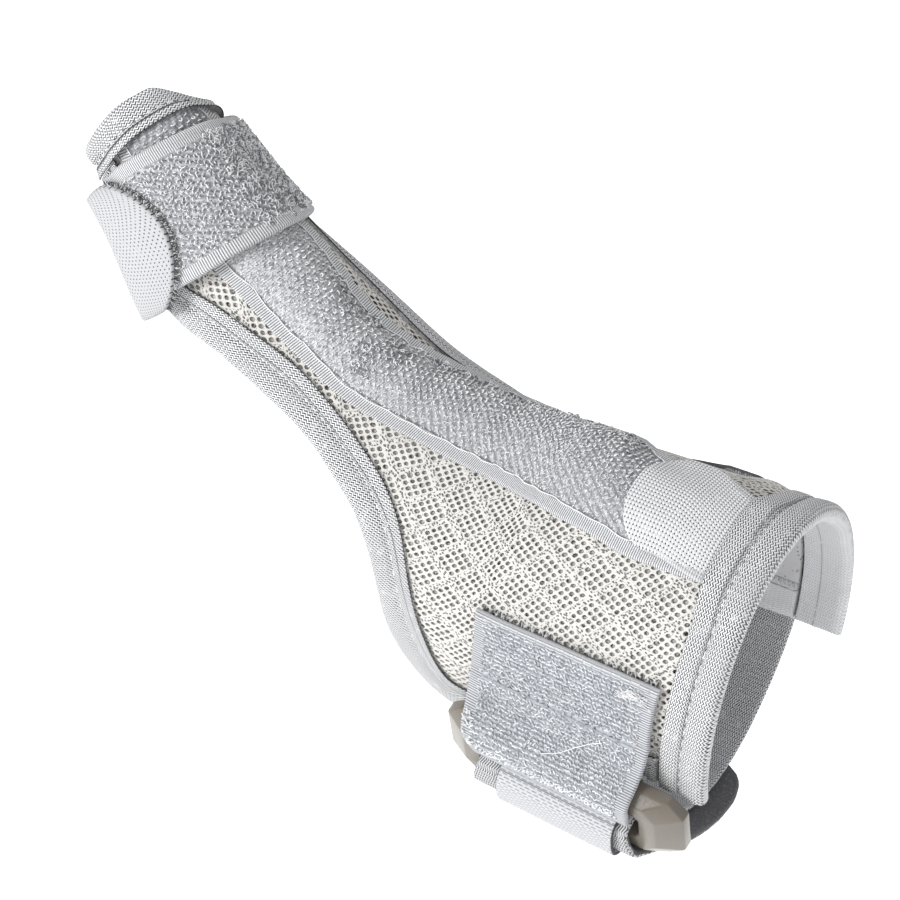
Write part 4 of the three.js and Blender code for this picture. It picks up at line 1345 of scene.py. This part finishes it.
def stray_threads():
    """A loose thread that lies in an S on the ring tab, and a tuft by its hem."""
    t = np.linspace(0, 1, 24)
    run = 0.53 - 0.116 * t - 0.065 * smoothstep(t, 0.15, 0.95)
    point, _, _, outward = outer_frame(ring_tab_place, run, lerp(0.47, 0.765, t))
    paths = [point + outward * 0.35]
    for _ in range(TUFT_HAIRS):
        centre = np.array([3.0 / TAB_LENGTH + chance.normal(0, 0.008), 0.88 + chance.normal(0, 0.03)])
        ends = centre + chance.normal(0, 0.009, (3, 2)) * (1, 2)
        point, _, _, outward = outer_frame(ring_tab_place, *ends.T)
        paths.append(point + outward * chance.uniform(0.1, 0.6, (3, 1)))
    return threads("stray_threads", paths, 0.1, THREAD, scales=[1.25] + [0.8] * TUFT_HAIRS)


strays = stray_threads()


def ring_piece():
    """The ring of the solids, with its edges rounded."""
    bm = bmesh.new()
    bm.from_mesh(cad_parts["wrist_ring"].data)
    bmesh.ops.remove_doubles(bm, verts=bm.verts[:], dist=1e-6)
    bmesh.ops.dissolve_limit(bm, angle_limit=math.radians(4), verts=bm.verts[:], edges=bm.edges[:])
    sharp = [edge for edge in bm.edges if edge.calc_face_angle(0) > math.radians(15)]
    bmesh.ops.bevel(bm, geom=sharp, offset=0.3 * MM, segments=3, profile=0.5, affect="EDGES", material=-1)
    return from_bmesh("ring_moulding", bm, PLASTIC, ["wrist_ring"])


ring = ring_piece()


# The wrist strap and its end piece.
wrist_place = strap(WRIST_STRAP, -WRIST_STRAP_THICK / 2, WRIST_STRAP_THICK / 2)
wrist_strap = cloth(
    "wrist_strap_tape", wrist_place, (wrist_place.length, WRIST_STRAP_WIDTH), (0.9, 1.1),
    (0.5, 0.5, 0.7, 0.7), WRIST_TAPE, ["wrist_strap"],
)
end_under = -WRIST_STRAP_THICK / 2 - LAYER_GAP - STRAP_END_THICK
end_over = end_under + STRAP_END_THICK
end_place = strap(WRIST_STRAP, end_under, end_over, *STRAP_END_ROWS, edges=STRAP_END_EDGES)
strap_end = cloth(
    "strap_end_tape", end_place, (end_place.length, STRAP_END_WIDTH), (0.6, 0.8), (0.4, 0.4, 0.5, 0.5),
    STRAP_END, ["wrist_strap_end"],
)


VIEW_TURN, VIEW_TILT = 32, 45
VIEW_DISTANCE = 0.65
VIEW_LENS = 137.8
VIEW_TARGET = -0.041, 0.0004, 0.022
SPLINT_MIDDLE = -0.04, 0, 0.02
FLOOR_HEIGHT = -0.25


def camera():
    """Looks down on the palm and thumb side."""
    turn, tilt = math.radians(VIEW_TURN), math.radians(VIEW_TILT)
    right = Vector((math.cos(turn), math.sin(turn), 0))
    back = Vector((math.sin(turn) * math.cos(tilt), -math.cos(turn) * math.cos(tilt), math.sin(tilt)))
    made = bpy.data.objects.new("camera", bpy.data.cameras.new("camera"))
    made.data.sensor_width = 36
    made.data.lens = VIEW_LENS
    made.data.clip_start = 0.02
    rotation = Matrix((right, back.cross(right), back)).transposed().to_4x4()
    made.matrix_world = Matrix.Translation(Vector(VIEW_TARGET) + back * VIEW_DISTANCE) @ rotation
    bpy.context.scene.collection.objects.link(made)
    bpy.context.scene.camera = made


def studio():
    """A pale floor, an even white surround and large soft lamps."""
    bm = bmesh.new()
    bmesh.ops.create_grid(bm, x_segments=4, y_segments=4, size=4)
    bmesh.ops.translate(bm, vec=(0, 0, FLOOR_HEIGHT), verts=bm.verts[:])
    mesh = bpy.data.meshes.new("floor")
    bm.to_mesh(mesh)
    bm.free()
    finish = Finish("pale_floor", (0.93, 0.93, 0.93), 0.9)
    finish.paint(finish.noise(400.0) * 0.2, (0.9, 0.9, 0.9))
    mesh.materials.append(finish.done())
    floor = bpy.data.objects.new("floor", mesh)
    bpy.context.scene.collection.objects.link(floor)
    world = bpy.data.worlds.new("surround")
    world.use_nodes = True
    sky = world.node_tree.nodes["Background"]
    sky.inputs["Color"].default_value = (1, 1, 1, 1)
    sky.inputs["Strength"].default_value = 0.55
    bpy.context.scene.world = world
    for name, place, aim, energy, size in (
        ("key_lamp", (-0.65, -1.0, 0.75), SPLINT_MIDDLE, 17, 0.5),
        ("fill_lamp", (0.8, -0.8, 0.6), SPLINT_MIDDLE, 4, 0.9),
        ("back_lamp", (0.2, 0.9, 0.8), SPLINT_MIDDLE, 2, 0.8),
        ("floor_lamp", (-0.04, 0.1, -0.1), (-0.04, 0.1, FLOOR_HEIGHT), 6, 1.6),
    ):
        lamp = bpy.data.lights.new(name, "AREA")
        lamp.energy = energy
        lamp.size = size
        holder = bpy.data.objects.new(name, lamp)
        holder.location = place
        holder.rotation_euler = (Vector(aim) - Vector(place)).to_track_quat("-Z", "Y").to_euler()
        bpy.context.scene.collection.objects.link(holder)
    bpy.context.scene.view_settings.view_transform = "Standard"


camera()
studio()
